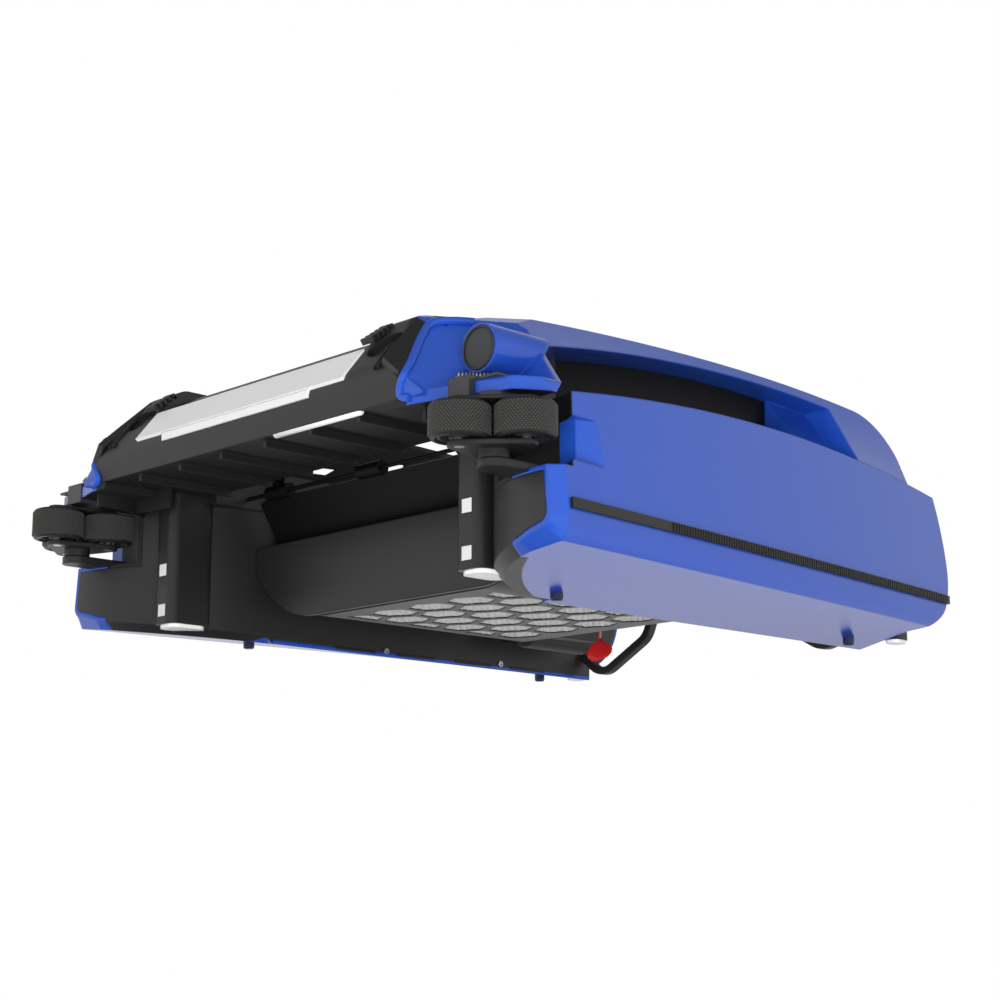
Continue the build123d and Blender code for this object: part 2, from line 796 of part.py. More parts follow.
# Tray that closes the hood from below, with stiffening ribs
left_bow_fin = mirror(bow_fin.part, about=Plane.YZ)
with BuildPart() as hood_tray:
    with BuildSketch(Plane.XY.offset(hood_front_z)):
        with Locations((0, (tray_front_y + tray_rear_y) / 2)):
            Rectangle(2 * (hood_half - hood_wall), tray_rear_y - tray_front_y)
    extrude(amount=tray_thick)
    with BuildSketch(Plane.XY.offset(hood_front_z)):
        with Locations((0, (tray_front_y + tray_rear_y) / 2)):
            with GridLocations(rib_pitch, 0, rib_count, 1):
                Rectangle(rib_thick, tray_rear_y - tray_front_y)
    extrude(amount=-rib_height)
    add(bow_fin.part, mode=Mode.SUBTRACT)
    add(left_bow_fin, mode=Mode.SUBTRACT)
write(hood_tray, "hood_tray")

# Dark sensor faces in the pods
with BuildPart() as sensor_faces:
    for side in (-1, 1):
        with BuildSketch(facing_back(side * pod_x, pod_front_y, pod_z)):
            Circle(sensor_radius)
        extrude(amount=sensor_thick)
write(sensor_faces, "sensor_faces")

# Rear deck: bulkhead, sloping top and stern beam
beam_y = stern_y - guard_setback - beam_cover
deck_edge_y = deck_rear_y - deck_edge_run
deck_run = deck_edge_y - deck_y
skin_z = deck_front_z - deck_skin
deck_fall = deck_front_z - deck_rear_z
solar_plane = Plane(origin=(0, deck_y + deck_run / 2, (deck_front_z + deck_rear_z) / 2),
                    x_dir=(1, 0, 0), z_dir=(0, deck_fall, deck_run))
solar_width = 2 * (hood_half - solar_inset_x)
solar_length = math.hypot(deck_run, deck_fall) - 2 * solar_inset_y
with BuildPart() as rear_deck:
    with BuildSketch(Plane.YZ.offset(-hood_half)):
        with BuildLine():
            Polyline((deck_y, deck_lip_z), (deck_y, deck_front_z), (deck_edge_y, deck_rear_z),
                     (deck_rear_y, deck_rear_z - deck_edge_drop), (deck_rear_y, deck_lip_z), close=True)
        make_face()
    extrude(amount=2 * hood_half)
    add(right_pontoon, mode=Mode.SUBTRACT)
    add(left_pontoon, mode=Mode.SUBTRACT)
    with BuildSketch(Plane.YZ.offset(deck_wall - hood_half)):
        with BuildLine():
            Polyline((deck_y + deck_wall, 0), (deck_y + deck_wall, skin_z),
                     (beam_y, skin_z - deck_fall * (beam_y - deck_y) / deck_run), (beam_y, 0), close=True)
        make_face()
    extrude(amount=2 * (hood_half - deck_wall), mode=Mode.SUBTRACT)
    with BuildSketch(Plane.XY.offset(bulkhead_z)):
        with Locations((0, deck_y + deck_wall / 2)):
            Rectangle(2 * channel_half, deck_wall)
    extrude(amount=deck_lip_z + bulkhead_lap - bulkhead_z)
    with BuildSketch(solar_plane):
        Rectangle(solar_width, solar_length)
    extrude(amount=-solar_thick, mode=Mode.SUBTRACT)
write(rear_deck, "rear_deck")

# Solar panel set flush in the rear deck
with BuildPart() as solar_panel:
    with BuildSketch(solar_plane):
        Rectangle(solar_width, solar_length)
    extrude(amount=-solar_thick)
write(solar_panel, "solar_panel")

# Battery pack and control board in the dry box of the hood
tray_top_z = hood_front_z + tray_thick
with BuildPart() as battery_pack:
    with Locations((0, hood_front_y + battery_setback, tray_top_z)):
        Box(*battery_size, align=(Align.CENTER, Align.CENTER, Align.MIN))
    fillet(battery_pack.edges().filter_by(Axis.X), battery_round)
write(battery_pack, "battery_pack")
with BuildPart() as control_board:
    with Locations((0, tray_rear_y, tray_top_z)):
        Box(*board_size, align=(Align.CENTER, Align.MAX, Align.MIN))
    with Locations((0, tray_rear_y - board_size[1], tray_top_z + board_size[2] / 2)):
        with GridLocations(chip_pitch, 0, chip_count, 1):
            Box(chip_size, chip_size / 2, chip_size, align=(Align.CENTER, Align.MAX, Align.MIN))
write(control_board, "control_board")

# Intake ramp between the inner walls: a bowed plate with a rounded lower edge like the basket's
ramp_foot_y = basket_front_y - lift_gap - ramp_wall
ramp_lip_y = ramp_foot_y - ramp_length
ramp_fall = ramp_lip_z - basket_floor_z
with BuildPart() as intake_ramp:
    with BuildSketch(Plane.YZ.offset(-channel_half - ramp_bite)):
        with BuildLine():
            lip = Vector(ramp_lip_y, ramp_lip_z)
            foot = Vector(ramp_foot_y, basket_floor_z - ramp_wall)
            inward = Vector(-ramp_fall, -ramp_length).normalized() * ramp_belly
            face = ThreePointArc(lip, (lip + foot) / 2 + inward, foot)
            behind = Vector(ramp_wall, 0)
            back = ThreePointArc(lip + behind, (lip + foot) / 2 + inward + behind, foot + behind)
            Line(face @ 0, back @ 0)
            Line(face @ 1, back @ 1)
        make_face()
    extrude(amount=2 * (channel_half + ramp_bite))
    with BuildSketch(Plane.XZ.offset(-ramp_foot_y)) as trough:
        with Locations((0, basket_floor_z)):
            Rectangle(2 * (channel_half + ramp_bite), ramp_lip_z, align=(Align.CENTER, Align.MIN))
        fillet(trough.vertices().group_by(Axis.Y)[0], basket_corner)
    extrude(amount=4 * ramp_length, both=True, mode=Mode.INTERSECT)
    add(right_pontoon, mode=Mode.SUBTRACT)
    add(left_pontoon, mode=Mode.SUBTRACT)
write(intake_ramp, "intake_ramp")

# Flap rod from bow to bow
with BuildPart() as flap_rod:
    with BuildSketch(Plane.YZ.offset(-channel_half - rod_bite)):
        with Locations((rod_y, rod_z)):
            Circle(rod_radius)
    extrude(amount=2 * (channel_half + rod_bite))
    add(right_pontoon, mode=Mode.SUBTRACT)
    add(left_pontoon, mode=Mode.SUBTRACT)
    add(front_hood.part, mode=Mode.SUBTRACT)
write(flap_rod, "flap_rod")

# Inlet flap that leans in over the ramp
lean = math.radians(flap_lean)
flap_plane = Plane(origin=(0, rod_y, rod_z), x_dir=(1, 0, 0), z_dir=(0, math.cos(lean), math.sin(lean)))
with BuildPart() as inlet_flap:
    with BuildSketch(flap_plane.offset(-flap_thick / 2)):
        with Locations((0, (flap_drop + flap_start) / 2)):
            RectangleRounded(2 * (channel_half - flap_side_gap), flap_drop - flap_start, flap_corner)
    extrude(amount=flap_thick)
    with BuildSketch(Plane.YZ.offset(-knuckle_length / 2)):
        with Locations((rod_y, rod_z)):
            Circle(knuckle_radius)
    knuckle = extrude(amount=knuckle_length)
    for side in (-1, 1):
        add(knuckle.moved(Location((side * knuckle_pitch, 0, 0))))
    with BuildSketch(Plane.YZ.offset(-channel_half)):
        with Locations((rod_y, rod_z)):
            Circle(rod_radius + running_gap)
    extrude(amount=2 * channel_half, mode=Mode.SUBTRACT)
write(inlet_flap, "inlet_flap")

# Lift-out debris basket: rounded trough, low front sill, honeycomb floor and side rims
basket_half = channel_half - basket_side_gap
basket_length = basket_rear_y - basket_front_y
basket_mid_y = (basket_front_y + basket_rear_y) / 2
rim_z = top_line().bounding_box().max.Y + moving_gap
floor_half = basket_half - basket_corner
bail_z = rim_z - bail_drop
hex_rows = int((basket_length - 2 * hex_margin - hex_height) / hex_pitch_y) + 1
hex_columns = int(floor_half / hex_pitch_x) + 2
with BuildPart() as debris_basket:
    with BuildSketch(Plane.XZ.offset(-basket_front_y)) as trough:
        with Locations((0, basket_floor_z)):
            Rectangle(2 * basket_half, rim_z + rim_thick - basket_floor_z, align=(Align.CENTER, Align.MIN))
        fillet(trough.vertices().group_by(Axis.Y)[0], basket_corner)
    extrude(amount=-basket_length)
    with BuildSketch(Plane.XY.offset(rim_z)):
        with Locations((0, basket_mid_y)):
            RectangleRounded(2 * (basket_half + rim_flange), basket_length, rim_flange / 2)
    extrude(amount=rim_thick)
    with BuildSketch(Plane.XZ.offset(-basket_front_y - basket_wall)) as hollow:
        with Locations((0, basket_floor_z + basket_wall)):
            Rectangle(2 * (basket_half - basket_wall), far, align=(Align.CENTER, Align.MIN))
        fillet(hollow.vertices().group_by(Axis.Y)[0], basket_corner - basket_wall)
    extrude(amount=2 * basket_wall - basket_length, mode=Mode.SUBTRACT)
    with BuildSketch(Plane.XZ.offset(-basket_front_y)):
        with Locations((0, basket_sill_z)):
            Rectangle(2 * (basket_half - basket_wall), far, align=(Align.CENTER, Align.MIN))
    extrude(amount=-basket_wall, mode=Mode.SUBTRACT)
    with BuildSketch(Plane.XY.offset(basket_floor_z)):
        for row in range(hex_rows):
            row_y = basket_mid_y + (row - (hex_rows - 1) / 2) * hex_pitch_y
            row_x = hex_pitch_x / 2 * (row % 2)
            with Locations((row_x, row_y)):
                with GridLocations(hex_pitch_x, 0, 2 * hex_columns + 1, 1):
                    Polygon((0, hex_height / 2), (-hex_width / 2, hex_height / 4),
                            (-hex_width / 2, -hex_height / 4), (0, -hex_height / 2),
                            (hex_width / 2, -hex_height / 4), (hex_width / 2, hex_height / 4))
        with Locations((0, basket_mid_y)):
            Rectangle(2 * floor_half - hex_margin, basket_length, mode=Mode.INTERSECT)
    extrude(amount=basket_wall, mode=Mode.SUBTRACT)
    with BuildSketch(Plane.YZ.offset(-basket_half)):
        with Locations((basket_mid_y, bail_z)):
            Circle(bail_pin_radius + running_gap)
    extrude(amount=2 * basket_half, mode=Mode.SUBTRACT)
write(debris_basket, "debris_basket")

# Fine mesh laid on the basket floor
with BuildPart() as basket_mesh:
    with BuildSketch(Plane.XY.offset(basket_floor_z + basket_wall)):
        with Locations((0, basket_mid_y)):
            Rectangle(2 * (floor_half - mesh_margin), basket_length - 2 * basket_wall)
    extrude(amount=mesh_thick)
write(basket_mesh, "basket_mesh")

# Folding bail handle, lying back inside the basket
bail_x = basket_half - basket_wall - bail_side_gap
with BuildPart() as basket_handle:
    with BuildLine():
        FilletPolyline((-bail_x, basket_mid_y, bail_z), (-bail_x, basket_mid_y + bail_reach, bail_z),
                       (bail_x, basket_mid_y + bail_reach, bail_z), (bail_x, basket_mid_y, bail_z),
                       radius=bail_corner)
    with BuildSketch(facing_back(-bail_x, basket_mid_y, bail_z)):
        Circle(bail_radius)
    sweep()
    for side in (-1, 1):
        with Locations((side * bail_x, basket_mid_y, bail_z)):
            Sphere(bail_knob_radius)
        with BuildSketch(Plane.YZ.offset(side * bail_x)):
            with Locations((basket_mid_y, bail_z)):
                Circle(bail_pin_radius)
        extrude(amount=side * (basket_half - moving_gap - bail_x))
write(basket_handle, "basket_handle")

# Motor pods held to the inner walls by a web
motor_y = drive_rear_y - seal_length - moving_gap - motor_length
with BuildPart() as motor_pod:
    with BuildSketch(facing_back(drive_x, drive_front_y, drive_z)):
        Circle(pod_body_radius)
    extrude(amount=drive_rear_y - drive_front_y)
    fillet(motor_pod.edges().sort_by(Axis.Y)[0], pod_nose)
    chamfer(motor_pod.edges().sort_by(Axis.Y)[-1], pod_body_wall)
    with BuildSketch(facing_back(drive_x, drive_front_y + web_inset, drive_z)):
        Rectangle(2 * (channel_half - drive_x), web_height)
    extrude(amount=drive_rear_y - drive_front_y - 2 * web_inset)
    with BuildSketch(facing_back(drive_x, drive_front_y + web_inset, drive_z)):
        with Locations((drive_x - channel_half - pod_body_radius / 2, 0)):
            Rectangle(pod_body_radius, 2 * web_height)
    extrude(amount=drive_rear_y - drive_front_y, mode=Mode.SUBTRACT)
    with BuildSketch(facing_back(drive_x, motor_y, drive_z)):
        Circle(motor_radius)
    extrude(amount=motor_length + moving_gap, mode=Mode.SUBTRACT)
    with BuildSketch(facing_back(drive_x, motor_y, drive_z)):
        Circle(seal_radius)
    extrude(amount=far, mode=Mode.SUBTRACT)
write_pair(motor_pod, "motor_pod")

# Sealed motors and the lip seals behind them
with BuildPart() as drive_motors:
    for side in (-1, 1):
        with BuildSketch(facing_back(side * drive_x, motor_y, drive_z)):
            Circle(motor_radius)
        extrude(amount=motor_length)
        with BuildSketch(facing_back(side * drive_x, motor_y + motor_length / 2, drive_z)):
            Circle(shaft_radius + running_gap)
        extrude(amount=motor_length / 2, mode=Mode.SUBTRACT)
write(drive_motors, "drive_motors")
with BuildPart() as shaft_seals:
    for side in (-1, 1):
        with BuildSketch(facing_back(side * drive_x, drive_rear_y - seal_length, drive_z)):
            Circle(seal_radius)
            Circle(shaft_radius + running_gap, mode=Mode.SUBTRACT)
        extrude(amount=seal_length)
write(shaft_seals, "shaft_seals")

# Propeller shafts
propeller_y = drive_rear_y + propeller_gap
shaft_y = motor_y + motor_length / 2 + moving_gap
with BuildPart() as propeller_shaft:
    with BuildSketch(facing_back(drive_x, shaft_y, drive_z)):
        Circle(shaft_radius)
    extrude(amount=propeller_y + propeller_hub_length - shaft_y)
write_pair(propeller_shaft, "propeller_shaft")


def blade_plane(angle, radius, pitch):
    """Plane across one blade, at a distance from the shaft and turned to its pitch."""
    out = Vector(math.sin(math.radians(angle)), 0, math.cos(math.radians(angle)))
    middle = Vector(drive_x, propeller_y + propeller_hub_length / 2, drive_z) + out * radius
    chord = Vector(0, 1, 0).rotate(Axis((0, 0, 0), out), pitch)
    return Plane(origin=middle, x_dir=chord, z_dir=out)


# Propellers with twisted blades
blade_mid_pitch = (blade_root_pitch + blade_tip_pitch) / 2
with BuildPart() as propeller:
    with BuildSketch(facing_back(drive_x, propeller_y, drive_z)):
        Circle(propeller_hub_radius)
    extrude(amount=propeller_hub_length)
    fillet(propeller.edges().sort_by(Axis.Y)[-1], propeller_hub_radius / 2)
    for blade in range(blade_count):
        angle = blade * 360 / blade_count
        with BuildSketch(blade_plane(angle, propeller_hub_radius / 2, blade_root_pitch)):
            Ellipse(propeller_hub_radius, blade_thick / 2)
        with BuildSketch(blade_plane(angle, propeller_radius * blade_mid_share, blade_mid_pitch)):
            Ellipse(blade_chord / 2, blade_thick / 2)
        with BuildSketch(blade_plane(angle, propeller_radius, blade_tip_pitch)):
            Ellipse(blade_tip_chord / 2, blade_thick / 3)
        loft()
    add(propeller_shaft.part, mode=Mode.SUBTRACT)
write_pair(propeller, "propeller")

# Guards that loop under the propellers, from the inner wall up to the stern beam
guard_y = stern_y - guard_setback
with BuildPart() as propeller_guard:
    with BuildSketch(Plane.XZ.offset(-guard_y)):
        with BuildLine():
            FilletPolyline((channel_half + guard_bite, drive_z - guard_root_drop),
                           (drive_x + guard_low_offset, guard_width / 2 + guard_foot_gap),
                           (drive_x - propeller_radius - guard_flank, drive_z), (guard_post_x, deck_lip_z),
                           radius=guard_corner)
        trace(line_width=guard_width)
        with Locations((0, deck_lip_z)):
            Rectangle(far, far, align=(Align.CENTER, Align.MAX), mode=Mode.INTERSECT)
    extrude(amount=-guard_depth)
    add(right_pontoon, mode=Mode.SUBTRACT)
write_both(propeller_guard, "propeller_guards")

# Lower roller brackets, each with the stub that its carrier turns on
with BuildPart() as roller_bracket:
    with BuildSketch(Plane.XY.offset(arm_top_z - arm_thick)):
        with Locations((axle_x, axle_y)):
            Circle(arm_radius)
            Rectangle(2 * arm_radius, arm_reach, align=(Align.CENTER, Align.MIN))
    extrude(amount=arm_thick)
    with BuildSketch(Plane.XY.offset(arm_top_z)):
        with Locations((axle_x, axle_y)):
            Circle(stub_radius)
    extrude(amount=plate_boss_height + plate_thick)
    add(right_pontoon, mode=Mode.SUBTRACT)
write_pair(roller_bracket, "roller_bracket")

# Upper roller clips: an arm under the fender, a hook round its front edge and a spring on top
hook_x = axle_x - clip_hook_offset
with BuildPart() as roller_clip:
    with BuildSketch(Plane.XY.offset(clip_z)):
        with Locations((axle_x, axle_y)):
            Circle(arm_radius)
        with Locations((hook_x, axle_y)):
            Circle(clip_hook_radius)
        make_hull()
        with Locations((axle_x, axle_y)):
            Rectangle(2 * arm_radius, arm_reach, align=(Align.CENTER, Align.MIN))
    extrude(amount=clip_thick)
    with BuildSketch(Plane.XY.offset(clip_z)):
        with Locations((hook_x, axle_y - clip_hook_front)):
            Rectangle(2 * clip_hook_radius, clip_hook_depth, align=(Align.CENTER, Align.MIN))
    extrude(amount=flange_top_z + clip_hook_rise - clip_z)
    with BuildSketch(Plane.XY.offset(flange_top_z)):
        with Locations((hook_x - clip_hook_radius, axle_y)):
            Rectangle(2 * clip_hook_radius + clip_spring_reach, clip_spring_reach,
                      align=(Align.MIN, Align.CENTER))
    extrude(amount=clip_spring_thick)
    with BuildSketch(Plane.XY.offset(upper_plate_z)):
        with Locations((axle_x, axle_y)):
            Circle(stub_radius)
    extrude(amount=clip_z - upper_plate_z)
    add(side_fender.part, mode=Mode.SUBTRACT)
    add(right_pontoon, mode=Mode.SUBTRACT)
write_pair(roller_clip, "roller_clip")

# Roller carriers: a lower and an upper plate held apart by the roller pins
roller_places = [(axle_x + roller_orbit * math.cos(math.radians(angle)),
                  axle_y + roller_orbit * math.sin(math.radians(angle))) for angle in roller_angles]
with BuildPart() as roller_carrier:
    upper_boss = upper_plate_thick + upper_boss_height
    for low_z, thick, boss, radius in ((plate_z, plate_thick, -plate_boss_height, plate_boss_radius),
                                       (upper_plate_z, upper_plate_thick, upper_boss, hub_core_radius)):
        with BuildSketch(Plane.XY.offset(low_z)):
            with Locations(*roller_places):
                Circle(lobe_radius)
            make_hull()
        extrude(amount=thick)
        with BuildSketch(Plane.XY.offset(low_z)):
            with Locations((axle_x, axle_y)):
                Circle(radius)
        extrude(amount=boss)
    with BuildSketch(Plane.XY):
        with Locations((axle_x, axle_y)):
            Circle(stub_radius + running_gap)
        with Locations(*roller_places):
            Circle(pin_radius)
    extrude(amount=far, mode=Mode.SUBTRACT)
write_pair(roller_carrier, "roller_carrier")
with BuildPart() as roller_pins:
    with BuildSketch(Plane.XY.offset(plate_z)):
        with Locations(*roller_places):
            Circle(pin_radius)
    extrude(amount=upper_plate_z + upper_plate_thick - plate_z)
write_pair(roller_pins, "roller_pins")

# Bumper rollers: a plastic hub with a recess below, and a rubber tyre
hub_radius = roller_radius - tyre_wall
for number, place in enumerate(roller_places, start=1):
    with BuildPart() as roller_hub:
        with BuildSketch(Plane.XY.offset(roller_low_z + hub_inset)):
            with Locations(place):
                Circle(hub_radius)
        extrude(amount=roller_height - 2 * hub_inset)
        with BuildSketch(Plane.XY.offset(roller_low_z + hub_inset)):
            with Locations(place):
                Circle(hub_radius - hub_rim)
                Circle(hub_core_radius, mode=Mode.SUBTRACT)
        extrude(amount=hub_recess, mode=Mode.SUBTRACT)
        with BuildSketch(Plane.XY):
            with Locations(place):
                Circle(pin_radius + running_gap)
        extrude(amount=far, mode=Mode.SUBTRACT)
    write_pair(roller_hub, f"roller_hub_{number}")
    with BuildPart() as roller_tyre:
        with BuildSketch(Plane.XY.offset(roller_low_z)):
            with Locations(place):
                Circle(roller_radius)
        extrude(amount=roller_height)
        fillet(roller_tyre.edges().filter_by(GeomType.CIRCLE), tyre_round)
        with BuildSketch(Plane.XY):
            with Locations(place):
                Circle(hub_radius)
        extrude(amount=far, mode=Mode.SUBTRACT)
    write_pair(roller_tyre, f"roller_tyre_{number}")

# Power button with a flange that keeps it under the deck
button_top_z = deck_z - hood_wall - moving_gap
with BuildPart() as power_button:
    with BuildSketch(Plane.XY.offset(button_top_z - button_flange_thick)):
        with Locations((0, button_y)):
            Circle(button_radius + button_flange)
    extrude(amount=button_flange_thick)
    with BuildSketch(Plane.XY.offset(button_top_z)):
        with Locations((0, button_y)):
            Circle(button_radius)
    extrude(amount=deck_z + button_proud - button_top_z)
    fillet(power_button.edges().sort_by(Axis.Z)[-1], button_proud / 2)
write(power_button, "power_button")

# Charging socket, set in the deck of the hood
with BuildPart() as charge_socket:
    with BuildSketch(Plane.XY.offset(deck_z - socket_depth)):
        with Locations((socket_x, button_y)):
            Circle(socket_radius)
    extrude(amount=socket_depth)
    with BuildSketch(Plane.XY.offset(deck_z - socket_depth + hood_wall)):
        with Locations((socket_x, button_y)):
            Circle(socket_bore)
    extrude(amount=far, mode=Mode.SUBTRACT)
write(charge_socket, "charge_socket")

# Hinged cap of the charging socket
with BuildPart() as charge_cap:
    with BuildSketch(Plane.XY.offset(deck_z + moving_gap)):
        with Locations((socket_x, button_y)):
            Circle(socket_radius + cap_overhang)
        with Locations((socket_x, (button_y + cap_y) / 2)):
            Rectangle(ear_gap - 2 * moving_gap, cap_pin_setback)
    extrude(amount=cap_thick)
    with BuildSketch(Plane.YZ.offset(socket_x - ear_gap / 2 + moving_gap)):
        with Locations((cap_y, cap_z)):
            Circle(cap_knuckle_radius)
    extrude(amount=ear_gap - 2 * moving_gap)
    with BuildSketch(Plane.YZ.offset(socket_x - ear_gap)):
        with Locations((cap_y, cap_z)):
            Circle(cap_pin_radius + running_gap)
    extrude(amount=2 * ear_gap, mode=Mode.SUBTRACT)
write(charge_cap, "charge_cap")
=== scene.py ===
"""Looks of a floating pool skimmer robot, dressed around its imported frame.

Everything is in metres, in the frame's own axes: the bow faces -Y and the machine stands on z = 0.
"""

from __future__ import annotations

import json
import logging
import math
from dataclasses import dataclass, field
from enum import Enum
from functools import reduce
from typing import Any, Iterable, Sequence

import bmesh
import bpy
from mathutils import Matrix, Vector
from mathutils.geometry import tessellate_polygon

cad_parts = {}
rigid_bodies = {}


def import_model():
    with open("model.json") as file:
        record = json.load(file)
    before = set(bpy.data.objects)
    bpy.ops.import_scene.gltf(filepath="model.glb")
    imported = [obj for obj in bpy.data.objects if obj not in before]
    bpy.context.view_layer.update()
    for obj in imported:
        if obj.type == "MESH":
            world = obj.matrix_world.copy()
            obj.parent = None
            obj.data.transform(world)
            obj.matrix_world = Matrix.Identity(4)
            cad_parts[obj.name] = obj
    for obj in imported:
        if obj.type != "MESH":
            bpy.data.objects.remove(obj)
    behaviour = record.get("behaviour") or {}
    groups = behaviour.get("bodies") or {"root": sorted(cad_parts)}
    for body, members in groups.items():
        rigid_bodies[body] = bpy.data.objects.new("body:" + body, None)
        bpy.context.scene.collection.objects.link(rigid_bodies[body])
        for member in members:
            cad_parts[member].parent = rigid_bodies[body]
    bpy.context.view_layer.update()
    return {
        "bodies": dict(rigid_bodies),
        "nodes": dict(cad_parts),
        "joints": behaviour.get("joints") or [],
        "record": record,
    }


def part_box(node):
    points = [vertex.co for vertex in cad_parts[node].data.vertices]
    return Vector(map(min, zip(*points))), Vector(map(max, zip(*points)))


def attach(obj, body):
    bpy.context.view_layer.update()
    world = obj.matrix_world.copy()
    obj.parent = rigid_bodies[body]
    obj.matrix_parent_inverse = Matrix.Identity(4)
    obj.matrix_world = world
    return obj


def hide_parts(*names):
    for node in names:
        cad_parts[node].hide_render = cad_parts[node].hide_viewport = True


LOG = logging.getLogger("skimmer")
SIDES = {"left": -1, "right": 1}
ROLLERS = (1, 2, 3)
# X and Y of the axle that the right-hand set of rollers turns on.
AXLE = (0.2151, -0.2227)
WHITE = (1.0, 1.0, 1.0, 1.0)
NO_TURN = (0.0, 0.0, 0.0)
CLOUD_SIZE = 0.06
CLOUD_DETAIL = 4.0
GRAIN_DETAIL = 3.0
GLOSS_SPREAD = 0.2
COAT_ROUGHNESS = 0.05
EDGE_SAMPLES = 4

Colour = tuple[float, float, float, float]
Point = tuple[float, float, float]
Profile = Sequence[tuple[float, float]]
Mesh, Material, Socket = bpy.types.Mesh, bpy.types.Material, bpy.types.NodeSocket


class Slot(str, Enum):
    """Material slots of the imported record."""

    BLUE = "blue_gloss"
    BLACK = "black_satin"
    GREY = "grey_plastic"
    PALE = "pale_plastic"
    RUBBER = "black_rubber"
    RED = "red_gloss"
    STEEL = "steel"
    LENS = "dark_lens"
    NET = "pale_mesh"
    SOLAR = "solar_glass"
    BATTERY = "battery_wrap"
    CIRCUIT = "circuit_green"
    BUTTON = "button_blue"


class Body(str, Enum):
    """Frame bodies that new pieces ride on, apart from the rollers and screws."""

    HULL = "hull"
    BASKET = "basket"


def screen(red: int, green: int, blue: int) -> Colour:
    """Turn a screen colour into the linear colour that a shader takes.

    Args:
        red: Red from 0 to 255.
        green: Green from 0 to 255.
        blue: Blue from 0 to 255.

    Returns:
        The linear colour with full alpha.
    """
    shares = [value / 255 for value in (red, green, blue)]
    linear = [s / 12.92 if s <= 0.04045 else ((s + 0.055) / 1.055) ** 2.4 for s in shares]
    return (*linear, 1.0)


def shade(colour: Colour, share: float) -> Colour:
    """Multiply a colour's channels by a share, up to 1."""
    return (*[min(1.0, channel * share) for channel in colour[:3]], colour[3])


class Graph:
    """Adds and links the nodes of one tree."""

    tree: bpy.types.NodeTree

    def add(self, kind: str, sockets: dict[Any, Any] | None = None, **settings: Any) -> bpy.types.Node:
        """Add one node.

        Args:
            kind: Node type.
            sockets: Input name or number to a value, or to an output to link from.
            **settings: Properties of the node itself.

        Returns:
            The new node.
        """
        node = self.tree.nodes.new(kind)
        for name, value in settings.items():
            setattr(node, name, value)
        for key, value in (sockets or {}).items():
            self.feed(node.inputs[key], value)
        return node

    def out(self, kind: str, sockets: dict[Any, Any] | None = None, **settings: Any) -> Socket:
        """Add one node, as add does, and give its first output."""
        return self.add(kind, sockets, **settings).outputs[0]

    def feed(self, socket: Socket, value: Any) -> None:
        """Set an input, or link an output to it.

        Args:
            socket: The input.
            value: A plain value or an output.
        """
        if isinstance(value, Socket):
            self.tree.links.new(value, socket)
        else:
            socket.default_value = value

    def math(self, operation: str, first: Any, second: Any = 0.0) -> Socket:
        """Work out one sum of two values or outputs, named as the Math node has it."""
        return self.out("ShaderNodeMath", {0: first, 1: second}, operation=operation)

    def times(self, *values: Any) -> Socket:
        """Multiply values or outputs, which gives 1 where several conditions hold at once."""
        return reduce(lambda first, second: self.math("MULTIPLY", first, second), values)

    def parts(self, vector: Socket) -> Sequence[Socket]:
        """Split a vector into its three outputs."""
        return self.add("ShaderNodeSeparateXYZ", {0: vector}).outputs

    def spread(self, value: Socket, low: Any, high: Any, start: float = 0.0, end: float = 1.0) -> Socket:
        """Map a value on to a range and stop at its ends.

        Args:
            value: The value.
            low: Result at start.
            high: Result at end.
            start: Value that gives low.
            end: Value that gives high.

        Returns:
            The mapped value.
        """
        sockets = {"Value": value, "From Min": start, "From Max": end, "To Min": low, "To Max": high}
        return self.out("ShaderNodeMapRange", sockets)


class ShaderGraph(Graph):
    """Builds one material."""

    def __init__(self, name: str) -> None:
        """Start a material with its Principled surface.

        Args:
            name: Name of the material.
        """
        self.material = bpy.data.materials.new(name)
        self.material.use_nodes = True
        self.tree = self.material.node_tree
        self.surface = self.tree.nodes["Principled BSDF"]
        self.place = self.add("ShaderNodeTexCoord").outputs["Object"]

    def noise(self, size: float, detail: float) -> Socket:
        """Add a noise with blotches of one size across, in metres, and octaves of finer noise."""
        return self.out("ShaderNodeTexNoise", {"Vector": self.place, "Scale": 1 / size, "Detail": detail})

    def blend(self, share: Socket, low: Any, high: Any) -> Socket:
        """Blend from the low colour to the high one by a share from 0 to 1."""
        return self.add("ShaderNodeMix", {0: share, 6: low, 7: high}, data_type="RGBA").outputs[2]

    def below(self, value: Socket, limit: float) -> Socket:
        """Give 1 where a value is under a limit."""
        return self.math("LESS_THAN", value, limit)

    def above(self, value: Socket, limit: float) -> Socket:
        """Give 1 where a value is over a limit."""
        return self.math("GREATER_THAN", value, limit)

    def either(self, *shares: Socket) -> Socket:
        """Give the highest of several shares, which is 1 where any condition holds."""
        return reduce(lambda first, second: self.math("MAXIMUM", first, second), shares)

    def facing(self) -> Sequence[Socket]:
        """Give the three parts of the direction that a face looks in."""
        return self.parts(self.add("ShaderNodeNewGeometry").outputs["True Normal"])

    def outwards(self, place: Socket, look: Socket) -> Socket:
        """Give how far a face looks away from the middle, from X of its place and of its direction."""
        return self.times(self.math("SIGN", place), look)

    def relief(self, height: Socket, depth: float, edge: float) -> None:
        """Give the surface a fine relief on softened edges.

        Args:
            height: Height from 0 to 1.
            depth: Depth of the relief in metres.
            edge: Radius of the softened edges in metres.
        """
        soft = self.out("ShaderNodeBevel", {"Radius": edge}, samples=EDGE_SAMPLES)
        sockets = {"Height": height, "Distance": depth, "Strength": 1.0, "Normal": soft}
        self.feed(self.surface.inputs["Normal"], self.out("ShaderNodeBump", sockets))


